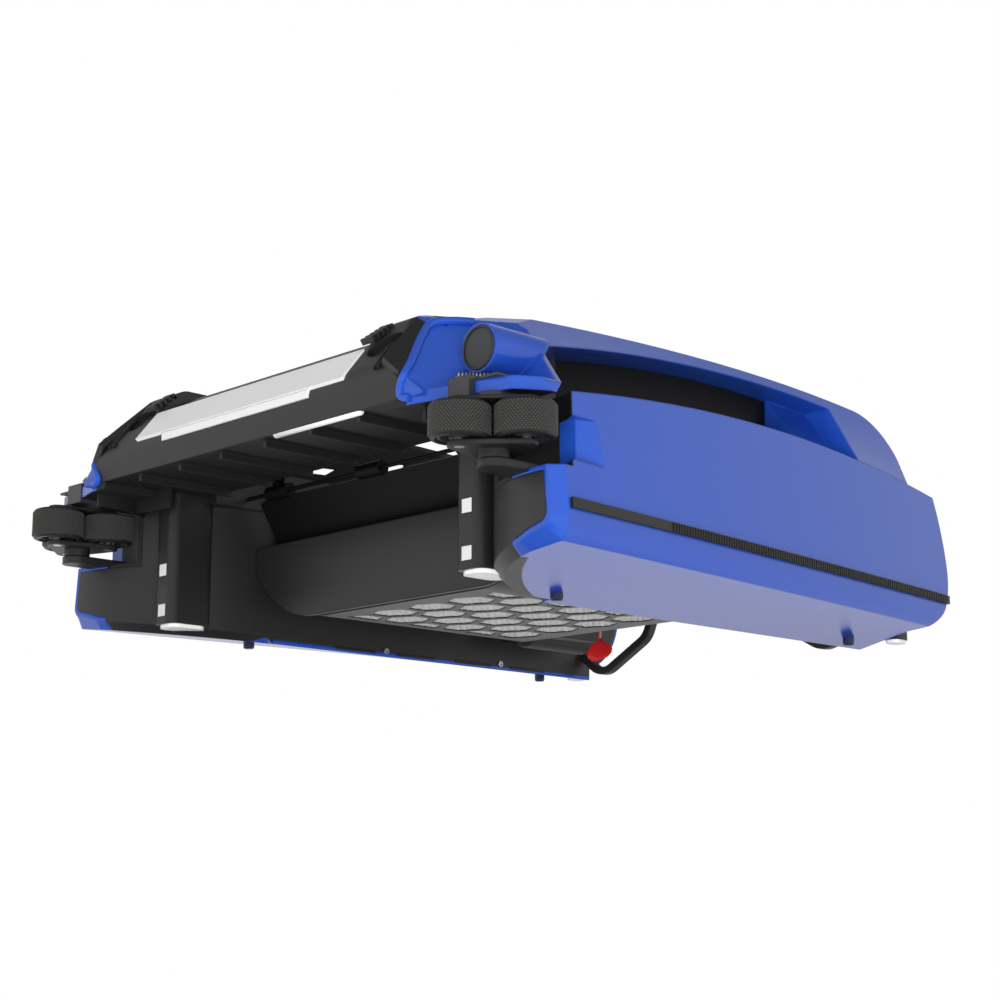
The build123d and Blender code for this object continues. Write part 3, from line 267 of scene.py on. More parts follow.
@dataclass(frozen=True)
class Moulding:
    """Moulded plastic or rubber with a fine grain and slight mottling.

    Attributes:
        name: Name of the finish.
        colour: Linear colour.
        roughness: Middle roughness.
        grain: Width of one grain in metres.
        depth: Depth of the grain in metres.
        coat: Weight of a clear gloss layer.
        mottle: Share by which the colour varies.
        edge: Radius of the softened edges in metres.
        metallic: How metallic the surface is.
        specular: Level of the surface's own gloss.
    """

    name: str
    colour: Colour
    roughness: float
    grain: float = 0.0012
    depth: float = 0.00002
    coat: float = 0.0
    mottle: float = 0.08
    edge: float = 0.0008
    metallic: float = 0.0
    specular: float = 0.5

    def tone(self, graph: ShaderGraph) -> Socket:
        """Give the mottled colour of one material."""
        cloud = graph.noise(CLOUD_SIZE, CLOUD_DETAIL)
        return graph.blend(cloud, shade(self.colour, 1 - self.mottle), shade(self.colour, 1 + self.mottle))

    def material(self) -> Material:
        """Build the material of this finish.

        Returns:
            The new material.
        """
        graph = ShaderGraph(self.name)
        self.paint(graph)
        return graph.material

    def paint(self, graph: ShaderGraph) -> None:
        """Set up the whole surface of one material.

        Args:
            graph: The material.
        """
        inputs = graph.surface.inputs
        inputs["Metallic"].default_value = self.metallic
        inputs["Coat Weight"].default_value = self.coat
        inputs["Coat Roughness"].default_value = COAT_ROUGHNESS
        inputs["Specular IOR Level"].default_value = self.specular
        graph.feed(inputs["Base Color"], self.tone(graph))
        fine = graph.noise(self.grain, GRAIN_DETAIL)
        least, most = (self.roughness * (1 + sign * GLOSS_SPREAD) for sign in (-1, 1))
        graph.feed(inputs["Roughness"], graph.spread(fine, least, most))
        graph.relief(fine, self.depth, self.edge)


@dataclass(frozen=True)
class TwoTone(Moulding):
    """Moulding of which a part is black and dull.

    Attributes:
        dark: Colour of the black part.
        dull: Roughness of the black part.
    """

    dark: Colour = screen(24, 24, 25)
    dull: float = 0.7

    def mask(self, graph: ShaderGraph) -> Socket:
        """Give 1 where the surface of one material is black."""
        raise NotImplementedError

    def paint(self, graph: ShaderGraph) -> None:
        """Set up the surface and blacken the masked part of it.

        Args:
            graph: The material.
        """
        super().paint(graph)
        share = self.mask(graph)
        colour, rough = (graph.surface.inputs[name] for name in ("Base Color", "Roughness"))
        graph.feed(colour, graph.blend(share, colour.links[0].from_socket, self.dark))
        graph.feed(rough, graph.either(rough.links[0].from_socket, graph.times(share, self.dull)))


@dataclass(frozen=True)
class FenderPaint(TwoTone):
    """Blue moulding of the fenders, black inside and on the underside of the flange.

    Attributes:
        under_z: Height up to which faces that look down are black.
        down: How steeply a face must look down to be black.
        inner_x: Distance from the middle within which faces that look inwards are black.
        inwards: How much a face must look inwards to be black.
        flange_z: Height of the flange's upper face.
        flange_x: Distance from the middle within which the flange's inward edge is black.
        flange_inwards: How much that edge must look inwards.
        tip_x: Distance from the middle within which the whole flange is black.
        nose_x: Distance from the middle within which the edge towards the hood is black.
        nose_y: Where that edge begins.
        nose_outwards: How little that edge may look outwards.
    """

    under_z: float = 0.1005
    down: float = -0.6
    inner_x: float = 0.155
    inwards: float = -0.3
    flange_z: float = 0.1085
    flange_x: float = 0.215
    flange_inwards: float = -0.05
    tip_x: float = 0.159
    nose_x: float = 0.1625
    nose_y: float = -0.195
    nose_outwards: float = 0.3

    def mask(self, graph: ShaderGraph) -> Socket:
        """Give 1 below and inside the fender.

        Args:
            graph: Material that the mask is for.

        Returns:
            The mask output.
        """
        look, place = graph.facing(), graph.parts(graph.place)
        reach = graph.math("ABSOLUTE", place[0])
        out = graph.outwards(place[0], look[0])
        under = graph.times(graph.below(place[2], self.under_z), graph.below(look[2], self.down))
        inside = graph.times(graph.below(reach, self.inner_x), graph.below(out, self.inwards))
        edge = graph.times(graph.below(reach, self.flange_x), graph.below(out, self.flange_inwards))
        tip = graph.either(edge, graph.below(reach, self.tip_x))
        flange = graph.times(tip, graph.below(place[2], self.flange_z))
        nose = graph.times(graph.below(out, self.nose_outwards), graph.below(place[1], self.nose_y),
                           graph.below(reach, self.nose_x))
        return graph.either(under, nose, inside, flange)


@dataclass(frozen=True)
class ShellPaint(TwoTone):
    """Blue moulding of the pontoons, black in the pockets of the rollers.

    Attributes:
        reach: Radius of a pocket.
        floor_z: Height of a pocket's floor.
        rim: Z above which and Y before which faces that look inwards are black.
        inwards: How much such a face must look inwards.
    """

    reach: float = 0.0443
    floor_z: float = 0.0578
    rim: tuple[float, float] = (0.05, -0.15)
    inwards: float = -0.3

    def mask(self, graph: ShaderGraph) -> Socket:
        """Give 1 round the roller axles.

        Args:
            graph: Material that the mask is for.

        Returns:
            The mask output.
        """
        place = graph.parts(graph.place)
        legs = [graph.math("SUBTRACT", graph.math("ABSOLUTE", place[0]), AXLE[0]),
                graph.math("SUBTRACT", place[1], AXLE[1])]
        square = graph.math("ADD", *[graph.math("POWER", leg, 2.0) for leg in legs])
        pocket = graph.times(graph.below(square, self.reach**2), graph.above(place[2], self.floor_z))
        out = graph.outwards(place[0], graph.facing()[0])
        front = graph.times(graph.above(place[2], self.rim[0]), graph.below(place[1], self.rim[1]))
        return graph.either(pocket, graph.times(front, graph.below(out, self.inwards)))


@dataclass(frozen=True)
class HighlitKnurlRubber(Moulding):
    """Rubber whose raised points are painted pale, a painted highlight on the knurl points.

    Attributes:
        painted_highlight: Colour of the painted highlight on the points.
        rise: Name of the attribute that holds how far a place is up a point, from 0 to 1.
    """

    painted_highlight: Colour = screen(84, 84, 82)
    rise: str = "rise"

    def tone(self, graph: ShaderGraph) -> Socket:
        """Give the dark rubber of one material, with a painted highlight on its points."""
        share = graph.add("ShaderNodeAttribute", attribute_name=self.rise).outputs["Fac"]
        # blend up each knurl point towards the painted highlight
        return graph.blend(share, super().tone(graph), self.painted_highlight)


@dataclass(frozen=True)
class CellGlass(Moulding):
    """Dark glass over silicon cells that shimmer from cell to cell.

    Attributes:
        crystal: Width of one crystal in metres.
        shimmer: Colour of the brighter crystals.
    """

    crystal: float = 0.01525
    shimmer: Colour = screen(34, 42, 84)

    def tone(self, graph: ShaderGraph) -> Socket:
        """Give the crystal pattern of one material over its dark ground."""
        crystal = graph.add("ShaderNodeTexVoronoi", {"Vector": graph.place, "Scale": 1 / self.crystal})
        return graph.blend(graph.parts(crystal.outputs["Color"])[0], self.colour, self.shimmer)


BLUE_GLOSS = (screen(33, 76, 176), 0.22, 0.004, 0.000001, 0.0, 0.03, 0.002)
FINISHES: dict[Slot, Moulding] = {
    Slot.BLUE: Moulding("blue_gloss", *BLUE_GLOSS),
    Slot.BLACK: Moulding("black_satin", screen(27, 27, 28), 0.46, 0.0007, 0.000012, edge=0.0016),
    Slot.GREY: Moulding("grey_plastic", screen(46, 46, 48), 0.36, 0.0008, 0.00001),
    Slot.PALE: Moulding("pale_plastic", screen(230, 230, 230), 0.4, 0.001, 0.000008, mottle=0.02),
    Slot.RUBBER: Moulding("black_rubber", screen(26, 26, 25), 0.45, 0.0006, 0.00001, specular=0.35),
    Slot.RED: Moulding("red_gloss", screen(188, 34, 34), 0.32, 0.003, 0.000004),
    Slot.STEEL: Moulding("drawn_steel", screen(190, 190, 192), 0.28, 0.0005, 0.000006, metallic=1.0),
    Slot.LENS: Moulding("dark_lens", screen(40, 40, 41), 0.4, 0.0008, 0.000008),
    Slot.NET: Moulding("pale_net", screen(236, 236, 234), 0.7, 0.0004, 0.00003, mottle=0.03, edge=0.0002),
    Slot.SOLAR: CellGlass("solar_glass", screen(16, 19, 40), 0.12, 0.002, 0.000001, coat=1.0),
    Slot.BATTERY: Moulding("battery_wrap", screen(40, 70, 150), 0.35, 0.002, 0.00001),
    Slot.CIRCUIT: Moulding("circuit_green", screen(30, 96, 60), 0.4, 0.001, 0.00001),
    Slot.BUTTON: Moulding("button_blue", screen(40, 90, 210), 0.2, 0.002, 0.000004, coat=0.6),
}
FENDER_PAINT = FenderPaint("fender_blue", *BLUE_GLOSS)
SHELL_PAINT = ShellPaint("shell_blue", *BLUE_GLOSS)
# tyre rubber with a painted highlight on its knurl points
TYRE_RUBBER = HighlitKnurlRubber("tyre_rubber_painted_highlight", screen(28, 28, 27), 0.45, 0.0006, 0.000005, edge=0.0003, specular=0.4)
NUB_PAINT = Moulding("nub_navy", screen(22, 30, 58), 0.35, 0.002, 0.000004)
# a darker copy of the black, for parts deep inside the machine: painted shade
SHADED_INNER_PAINT = Moulding("inner_black_painted_shade", screen(10, 10, 11), 0.5, 0.0007, 0.000012, specular=0.15)
PAD_PAINT = Moulding("pad_white", screen(252, 252, 252), 0.35, 0.001, 0.000006, mottle=0.02)


class GrowthTree(Graph):
    """Builds one Geometry Nodes tree and grows plain meshes from it."""

    def __init__(self, name: str, **sizes: float | int) -> None:
        """Start a tree with its named sizes.

        Args:
            name: Name of the tree.
            **sizes: Named inputs with the values that they start from.
        """
        self.tree = bpy.data.node_groups.new(name, "GeometryNodeTree")
        face = self.tree.interface
        face.new_socket("Geometry", in_out="INPUT", socket_type="NodeSocketGeometry")
        self.keys: dict[str, str] = {}
        for label, value in sizes.items():
            kind = "NodeSocketInt" if isinstance(value, int) else "NodeSocketFloat"
            socket = face.new_socket(label, in_out="INPUT", socket_type=kind)
            socket.default_value = value
            self.keys[label] = socket.identifier
        finish = face.new_socket("finish", in_out="INPUT", socket_type="NodeSocketMaterial")
        self.keys["finish"] = finish.identifier
        face.new_socket("Geometry", in_out="OUTPUT", socket_type="NodeSocketGeometry")
        self.start = self.tree.nodes.new("NodeGroupInput")
        self.end = self.tree.nodes.new("NodeGroupOutput")

    def size(self, label: str) -> Socket:
        """Give one named input."""
        return self.start.outputs[label]

    def index(self) -> Socket:
        """Give the number of each point."""
        return self.out("GeometryNodeInputIndex")

    def place(self) -> Sequence[Socket]:
        """Give the three parts of each point's place."""
        return self.parts(self.out("GeometryNodeInputPosition"))

    def vector(self, x: Any, y: Any, z: Any) -> Socket:
        """Join three values or outputs into a vector."""
        return self.out("ShaderNodeCombineXYZ", {0: x, 1: y, 2: z})

    def spin(self, angle: Socket) -> Socket:
        """Turn an angle into a rotation about Z."""
        return self.out("FunctionNodeEulerToRotation", {0: self.vector(0.0, 0.0, angle)})

    def plant(self, points: Socket, shape: Socket, turn: Any) -> Socket:
        """Put one shape on every point, each turned by a rotation."""
        return self.out("GeometryNodeInstanceOnPoints", {"Points": points, "Instance": shape, "Rotation": turn})

    def sweep(self, path: Socket, section: Socket) -> Socket:
        """Sweep a section along a path into a closed bar."""
        return self.out("GeometryNodeCurveToMesh", {"Curve": path, "Profile Curve": section, "Fill Caps": True})

    def join(self, *shapes: Socket) -> Socket:
        """Join several geometries into one.

        Args:
            *shapes: Outputs with the geometries.

        Returns:
            The joined output.
        """
        node = self.add("GeometryNodeJoinGeometry")
        for shape in shapes:
            self.tree.links.new(shape, node.inputs[0])
        return node.outputs[0]

    def close(self, shape: Socket) -> None:
        """End the tree with real, dressed geometry.

        Args:
            shape: Output that holds everything grown.
        """
        real = self.out("GeometryNodeRealizeInstances", {"Geometry": shape})
        sockets = {"Geometry": real, "Material": self.size("finish")}
        self.feed(self.end.inputs[0], self.out("GeometryNodeSetMaterial", sockets))

    def grow(self, finish: Material, mesh: Mesh | None = None, **sizes: float | int) -> Mesh:
        """Grow one plain mesh.

        Args:
            finish: Its material.
            mesh: What the tree starts from, or nothing.
            **sizes: Named inputs to set.

        Returns:
            The new mesh.
        """
        seed = bpy.data.objects.new("seed", mesh or bpy.data.meshes.new("seed"))
        bpy.context.scene.collection.objects.link(seed)
        modifier = seed.modifiers.new("grow", "NODES")
        modifier.node_group = self.tree
        for label, value in {**sizes, "finish": finish}.items():
            modifier[self.keys[label]] = value
        seed.update_tag()
        grown = bpy.data.meshes.new_from_object(seed.evaluated_get(bpy.context.evaluated_depsgraph_get()))
        seed.modifiers.remove(modifier)
        bpy.data.objects.remove(seed)
        return grown


class RibTree(GrowthTree):
    """Sets square ribs at even steps along lines."""

    def __init__(self) -> None:
        """Build the tree."""
        super().__init__("ribs_on_line", pitch=0.002, across=0.001, rise=0.005, along=0.001)
        curve = self.out("GeometryNodeMeshToCurve", {0: self.size("Geometry")})
        upright = self.out("GeometryNodeSetCurveNormal", {"Curve": curve}, mode="Z_UP")
        sockets = {"Curve": upright, "Length": self.size("pitch")}
        points = self.add("GeometryNodeCurveToPoints", sockets, mode="LENGTH").outputs
        size = self.vector(self.size("across"), self.size("rise"), self.size("along"))
        rib = self.out("GeometryNodeMeshCube", {"Size": size})
        self.close(self.plant(points["Points"], rib, points["Rotation"]))


class RingTree(GrowthTree):
    """Repeats a shape at even steps round the Z axis."""

    def __init__(self) -> None:
        """Build the tree."""
        super().__init__("shapes_in_ring", count=3)
        points = self.out("GeometryNodePoints", {"Count": self.size("count")})
        angle = self.times(self.index(), self.math("DIVIDE", math.tau, self.size("count")))
        self.close(self.plant(points, self.size("Geometry"), self.spin(angle)))


class BeadTree(GrowthTree):
    """Lays a round bead along a smooth line."""

    def __init__(self) -> None:
        """Build the tree."""
        super().__init__("bead_on_line", radius=0.003, steps=48, sides=12)
        curve = self.out("GeometryNodeMeshToCurve", {0: self.size("Geometry")})
        rounded = self.out("GeometryNodeCurveSplineType", {"Curve": curve}, spline_type="CATMULL_ROM")
        fine = self.out("GeometryNodeResampleCurve", {"Curve": rounded, "Count": self.size("steps")})
        sockets = {"Resolution": self.size("sides"), "Radius": self.size("radius")}
        self.close(self.sweep(fine, self.out("GeometryNodeCurvePrimitiveCircle", sockets)))


def span(node: str) -> tuple[Vector, Vector]:
    """Give the lowest and highest corners of a frame node."""
    low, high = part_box(node)
    return Vector(low), Vector(high)


def both_sides(line: Iterable[Point]) -> list[list[Vector]]:
    """Give the left-hand and right-hand copies of a line on the right-hand side."""
    places = [Vector(place) for place in line]
    return [[Vector((sign, 1.0, 1.0)) * place for place in places] for sign in SIDES.values()]


def make_mesh(name: str, places: Iterable[Any], edges: Iterable[Any], faces: Iterable[Any]) -> Mesh:
    """Make a mesh from its points, edges and faces.

    Args:
        name: Name of the mesh.
        places: Where its points are.
        edges: Pairs of points.
        faces: Rings of points.

    Returns:
        The mesh.
    """
    mesh = bpy.data.meshes.new(name)
    mesh.from_pydata(list(places), list(edges), list(faces))
    return mesh


def smooth(mesh: Mesh) -> Mesh:
    """Give a mesh smooth shading."""
    mesh.polygons.foreach_set("use_smooth", [True] * len(mesh.polygons))
    return mesh


def turn_out(mesh: Mesh) -> Mesh:
    """Turn all faces of a closed mesh outwards.

    Args:
        mesh: The mesh, which is changed.

    Returns:
        The same mesh.
    """
    work = bmesh.new()
    work.from_mesh(mesh)
    bmesh.ops.recalc_face_normals(work, faces=work.faces)
    work.to_mesh(mesh)
    work.free()
    return mesh


def polyline(name: str, lines: Iterable[Sequence[Any]]) -> Mesh:
    """Make a mesh of edges that a tree can follow.

    Args:
        name: Name of the mesh.
        lines: Points along each line.

    Returns:
        The mesh.
    """
    places: list[Any] = []
    edges: list[tuple[int, int]] = []
    for line in lines:
        start = len(places)
        places += line
        edges += [(index - 1, index) for index in range(start + 1, len(places))]
    return make_mesh(name, places, edges, ())


def lathe(name: str, profile: Profile, segments: int) -> Mesh:
    """Turn a closed outline round the Z axis.

    Args:
        name: Name of the mesh.
        profile: Radius and height of each point, anticlockwise in that plane.
        segments: Faces round the axis.

    Returns:
        A closed ring with smooth shading.
    """
    count = len(profile)
    places: list[Point] = []
    faces = []
    for step in range(segments):
        angle = math.tau * step / segments
        places += [(r * math.cos(angle), r * math.sin(angle), z) for r, z in profile]
        here, there = step * count, (step + 1) % segments * count
        for index in range(count):
            ahead = (index + 1) % count
            faces.append((here + index, there + index, there + ahead, here + ahead))
    return smooth(make_mesh(name, places, (), faces))


def prism(name: str, outline: Sequence[Any], push: Any, windows: Sequence[Sequence[Any]] = ()) -> Mesh:
    """Push a flat outline out into a closed block, with windows through it.

    Args:
        name: Name of the mesh.
        outline: Corners of one face, in turn.
        push: How far and which way the other face lies.
        windows: Corners of each window in that face.

    Returns:
        The closed block.
    """
    loops = [[Vector(corner) for corner in loop] for loop in (outline, *windows)]
    near = [corner for loop in loops for corner in loop]
    count = len(near)
    flats = tessellate_polygon(loops) if windows else [range(count)]
    faces = [tuple(index + shift for index in flat) for shift in (0, count) for flat in flats]
    start = 0
    for loop in loops:
        for step in range(len(loop)):
            here, there = start + step, start + (step + 1) % len(loop)
            faces.append((here, there, there + count, here + count))
        start += len(loop)
    return turn_out(make_mesh(name, [*near, *[corner + Vector(push) for corner in near]], (), faces))


@dataclass
class Detail:
    """Finer pieces that are added to the frame.

    Attributes:
        finishes: Material of each slot.
    """

    finishes: dict[Slot, Material]

    def add(self, name: str, mesh: Mesh, slot: Slot, body: str = Body.HULL.value, *nodes: str) -> None:
        """Add one piece at the origin.

        Args:
            name: Name of the piece.
            mesh: Its mesh, which takes the slot's finish unless it has one.
            slot: Slot that the finish comes from.
            body: Body that the piece rides on.
            *nodes: Frame nodes that it stands for.
        """
        if not mesh.materials:
            mesh.materials.append(self.finishes[slot])
        piece = bpy.data.objects.new(name, mesh)
        bpy.context.scene.collection.objects.link(piece)
        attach(piece, body)
        if nodes:
            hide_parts(*nodes)
        LOG.info("built %s on %s", name, body)

    def ribs(self, name: str, lines: Iterable[Sequence[Any]], slot: Slot, pitch: float, size: Point) -> None:
        """Add rows of square ribs as one piece on the hull.

        Args:
            name: Name of the piece.
            lines: Points along each row.
            slot: Slot that the finish comes from.
            pitch: Distance between ribs.
            size: How far a rib reaches across the row, its height and its length along the row.
        """
        across, rise, along = size
        mesh = RibTree().grow(self.finishes[slot], polyline(name, lines), pitch=pitch, across=across,
                              rise=rise, along=along)
        self.add(name, mesh, slot)


@dataclass
class BumperRollers(Detail):
    """Knurled tyres and spoked hubs of the bumper rollers.

    Attributes:
        around: Knurl points in one row.
        rows: Rows of knurl points.
        band: Height of the knurled band.
        stud: Half the width of a knurl point.
        stud_sides: Flats round a knurl point.
        depth: Height of a knurl point.
        bore: Radius of the hub inside the tyre.
        shoulder: Radius of the tyre's rounded edges.
        bends: Angles along a rounded edge, in degrees.
        segments: Faces round a tyre.
        spokes: Spokes in one hub.
        spoke_middle: Distance of a spoke's middle from the axle.
        spoke_size: Length, width and height of a spoke.
        recess: Height of the hub's recess above the tyre's lower face.
    """

    around: int = 52
    rows: int = 14
    band: float = 0.0158
    stud: float = 0.00105
    stud_sides: int = 4
    depth: float = 0.0008
    bore: float = 0.013
    shoulder: float = 0.0022
    bends: Sequence[int] = range(0, 91, 15)
    segments: int = 72
    spokes: int = 5
    spoke_middle: float = 0.0085
    spoke_size: Point = (0.006, 0.0016, 0.0045)
    recess: float = 0.003

    def knurl(self) -> GrowthTree:
        """Build the tree that covers a tyre with staggered knurl points.

        Returns:
            The finished tree.
        """
        tree = GrowthTree("knurl", radius=0.0175, band=self.band, around=self.around, rows=self.rows,
                          stud=self.stud, stud_sides=self.stud_sides, depth=self.depth)
        index = tree.index()
        radius, around, rows, depth = (tree.size(label) for label in ("radius", "around", "rows", "depth"))
        row = tree.math("FLOOR", tree.math("DIVIDE", index, around))
        stagger = tree.times(tree.math("MODULO", row, 2.0), 0.5)
        angle = tree.times(tree.math("ADD", index, stagger), tree.math("DIVIDE", math.tau, around))
        rise = tree.math("DIVIDE", row, tree.math("SUBTRACT", rows, 1.0))
        height = tree.times(tree.math("SUBTRACT", rise, 0.5), tree.size("band"))
        x, y = (tree.times(tree.math(wave, angle), radius) for wave in ("COSINE", "SINE"))
        sockets = {"Count": tree.times(around, rows), "Position": tree.vector(x, y, height)}
        points = tree.out("GeometryNodePoints", sockets)
        sockets = {"Vertices": tree.size("stud_sides"), "Radius Top": 0.0, "Radius Bottom": tree.size("stud"),
                   "Depth": depth}
        cone = tree.out("GeometryNodeMeshCone", sockets, fill_type="NONE")
        # height up each knurl point, which the tyre material turns into a painted highlight
        sockets = {"Geometry": cone, "Name": TYRE_RUBBER.rise,
                   "Value": tree.math("DIVIDE", tree.place()[2], depth)}
        marked = tree.out("GeometryNodeStoreNamedAttribute", sockets, data_type="FLOAT", domain="POINT")
        lying = tree.out("GeometryNodeTransform", {"Geometry": marked, "Rotation": (0.0, math.pi / 2, 0.0)})
        tree.close(tree.join(tree.size("Geometry"), tree.plant(points, lying, tree.spin(angle))))
        return tree

    def tyre_profile(self, radius: float, half: float) -> list[tuple[float, float]]:
        """Outline a tyre's section with rounded shoulders.

        Args:
            radius: Outer radius.
            half: Half the tyre's height.

        Returns:
            Points of the section.
        """
        bends = [math.radians(angle) for angle in self.bends]
        low = [(radius - self.shoulder * (1 - math.sin(a)), -half + self.shoulder * (1 - math.cos(a)))
               for a in bends]
        return [(self.bore, -half), *low, *[(r, -z) for r, z in reversed(low)], (self.bore, half)]

    def build(self) -> None:
        """Build and dress the tyres and spokes of all rollers."""
        knurl, ring = self.knurl(), RingTree()
        # rubber with a painted highlight on the knurl points
        rubber = TYRE_RUBBER.material()
        length, width, height = self.spoke_size
        start = self.spoke_middle - length / 2
        edges = [(start, y * width / 2, z * height / 2) for y, z in ((-1, -1), (1, -1), (1, 1), (-1, 1))]
        for side in SIDES:
            for number in ROLLERS:
                node, body = f"{side}_roller_tyre_{number}", f"{side}_roller_{number}"
                low, high = span(node)
                middle = (low + high) / 2
                radius = (high.x - low.x) / 2 - self.depth
                base = lathe(node, self.tyre_profile(radius, (high.z - low.z) / 2), self.segments)
                tyre = knurl.grow(rubber, base, radius=radius)
                tyre.transform(Matrix.Translation(middle))
                self.add(f"{side}_knurled_tyre_{number}", tyre, Slot.RUBBER, body, node)
                spoke = prism("spoke", edges, (length, 0.0, 0.0))
                spokes = ring.grow(self.finishes[Slot.GREY], spoke, count=self.spokes)
                middle.z = low.z + self.recess + height / 2
                spokes.transform(Matrix.Translation(middle))
                self.add(f"{side}_hub_spokes_{number}", spokes, Slot.GREY, body)


@dataclass
class SideStrips(Detail):
    """Grip ribs on the rear part of the rub strips.

    Attributes:
        ends_y: Where the pontoon's side begins and ends.
        bow_side: Half width at the bow.
        taper: How much the side draws in to the stern.
        bulge: How much the side swells in the middle.
        proud: How far the strip stands out.
        height: Height of the strip's middle.
        ribs_y: First and last rib.
        pitch: Distance between ribs.
        size: How far a rib reaches in and out, its height and its width.
        steps: Straight runs along the row.
    """

    ends_y: tuple[float, float] = (-0.206, 0.261)
    bow_side: float = 0.25
    taper: float = 0.056
    bulge: float = 0.0025
    proud: float = 0.0016
    height: float = 0.036
    ribs_y: tuple[float, float] = (-0.1, 0.25)
    pitch: float = 0.0028
    size: Point = (0.0012, 0.0056, 0.0013)
    steps: int = 24

    def side_x(self, y: float) -> float:
        """Give the outer side of the pontoon at one place along it."""
        share = (y - self.ends_y[0]) / (self.ends_y[1] - self.ends_y[0])
        return self.bow_side - self.taper * share + self.bulge * 4 * share * (1 - share)

    def build(self) -> None:
        """Build the ribs of both sides as one piece."""
        front, rear = self.ribs_y
        runs = [front + (rear - front) * step / self.steps for step in range(self.steps + 1)]
        line = [(self.side_x(y) + self.proud, y, self.height) for y in runs]
        self.ribs("strip_ribs", both_sides(line), Slot.RUBBER, self.pitch, self.size)


@dataclass
class KeelPlugs(Detail):
    """Dark plugs in the drain slots along the inner edge of both keels.

    Attributes:
        x: Distance of the plugs from the middle.
        z: Height of their middle.
        row_y: Middle of the first plug, and where the row ends.
        pitch: Distance between plugs.
        size: How far a plug reaches in and out, its height and its length.
    """

    x: float = 0.1369
    z: float = 0.0053
    row_y: tuple[float, float] = (-0.0285, 0.1515)
    pitch: float = 0.0597
    size: Point = (0.0008, 0.0022, 0.039)

    def build(self) -> None:
        """Build the plugs of both keels as one piece."""
        line = [(self.x, y, self.z) for y in self.row_y]
        self.ribs("keel_plugs", both_sides(line), Slot.RUBBER, self.pitch, self.size)


@dataclass
class BasketNet(Detail):
    """Woven net on the basket's floor.

    Attributes:
        pitch: Distance between strands.
        strand: Width of a strand.
        film: Thickness of a strand.
        wave: How far a strand rises over the next.
        margin: Bare edge round the net.
        drop: How far the net lies below the plain sheet, in the floor's windows.
    """

    pitch: float = 0.0031
    strand: float = 0.0023
    film: float = 0.00025
    wave: float = 0.0002
    margin: float = 0.0015
    drop: float = 0.0019

    def weave(self) -> GrowthTree:
        """Build the tree of two sets of crossing, waving strands.

        Returns:
            The finished tree.
        """
        tree = GrowthTree("weave", width=0.15, length=0.19, pitch=self.pitch, strand=self.strand,
                          film=self.film, wave=self.wave)
        pitch = tree.size("pitch")
        sets = []
        for along, across, sign in (("length", "width", 1.0), ("width", "length", -1.0)):
            half = tree.times(tree.size(along), 0.5)
            crossings, count = (tree.math("ROUND", tree.math("DIVIDE", tree.size(label), pitch))
                                for label in (along, across))
            shift = tree.times(tree.math("SUBTRACT", tree.index(), tree.times(count, 0.5)), pitch)
            ends = [tree.times(half, -1.0), half]
            if along == "width":
                start, end = (tree.vector(place, 0.0, 0.0) for place in ends)
                spot = tree.vector(0.0, shift, 0.0)
            else:
                start, end = (tree.vector(0.0, place, 0.0) for place in ends)
                spot = tree.vector(shift, 0.0, 0.0)
            line = tree.out("GeometryNodeCurvePrimitiveLine", {"Start": start, "End": end})
            dots = tree.math("ADD", tree.times(crossings, 2.0), 1.0)
            fine = tree.out("GeometryNodeResampleCurve", {"Curve": line, "Count": dots})
            sockets = {"Count": tree.math("ADD", count, 1.0), "Position": spot}
            strands = tree.plant(tree.out("GeometryNodePoints", sockets), fine, NO_TURN)
            real = tree.out("GeometryNodeRealizeInstances", {"Geometry": strands})
            beat, place = tree.math("DIVIDE", math.pi, pitch), tree.place()
            waves = [tree.math("COSINE", tree.times(place[axis], beat)) for axis in (0, 1)]
            offset = tree.vector(0.0, 0.0, tree.times(*waves, tree.size("wave"), sign))
            waved = tree.out("GeometryNodeSetPosition", {"Geometry": real, "Offset": offset})
            flat = tree.out("GeometryNodeSetCurveNormal", {"Curve": waved}, mode="Z_UP")
            sockets = {"Width": tree.size("strand"), "Height": tree.size("film")}
            sets.append(tree.sweep(flat, tree.out("GeometryNodeCurvePrimitiveQuadrilateral", sockets)))
        tree.close(tree.join(*sets))
        return tree

    def build(self) -> None:
        """Build the net in the place of its plain sheet."""
        low, high = span("basket_mesh")
        size = high - low - Vector((2 * self.margin, 2 * self.margin, 0.0))
        net = self.weave().grow(self.finishes[Slot.NET], width=size.x, length=size.y)
        net.transform(Matrix.Translation((low + high) / 2 - Vector((0.0, 0.0, self.drop))))
        self.add("basket_net", net, Slot.NET, Body.BASKET.value, "basket_mesh")


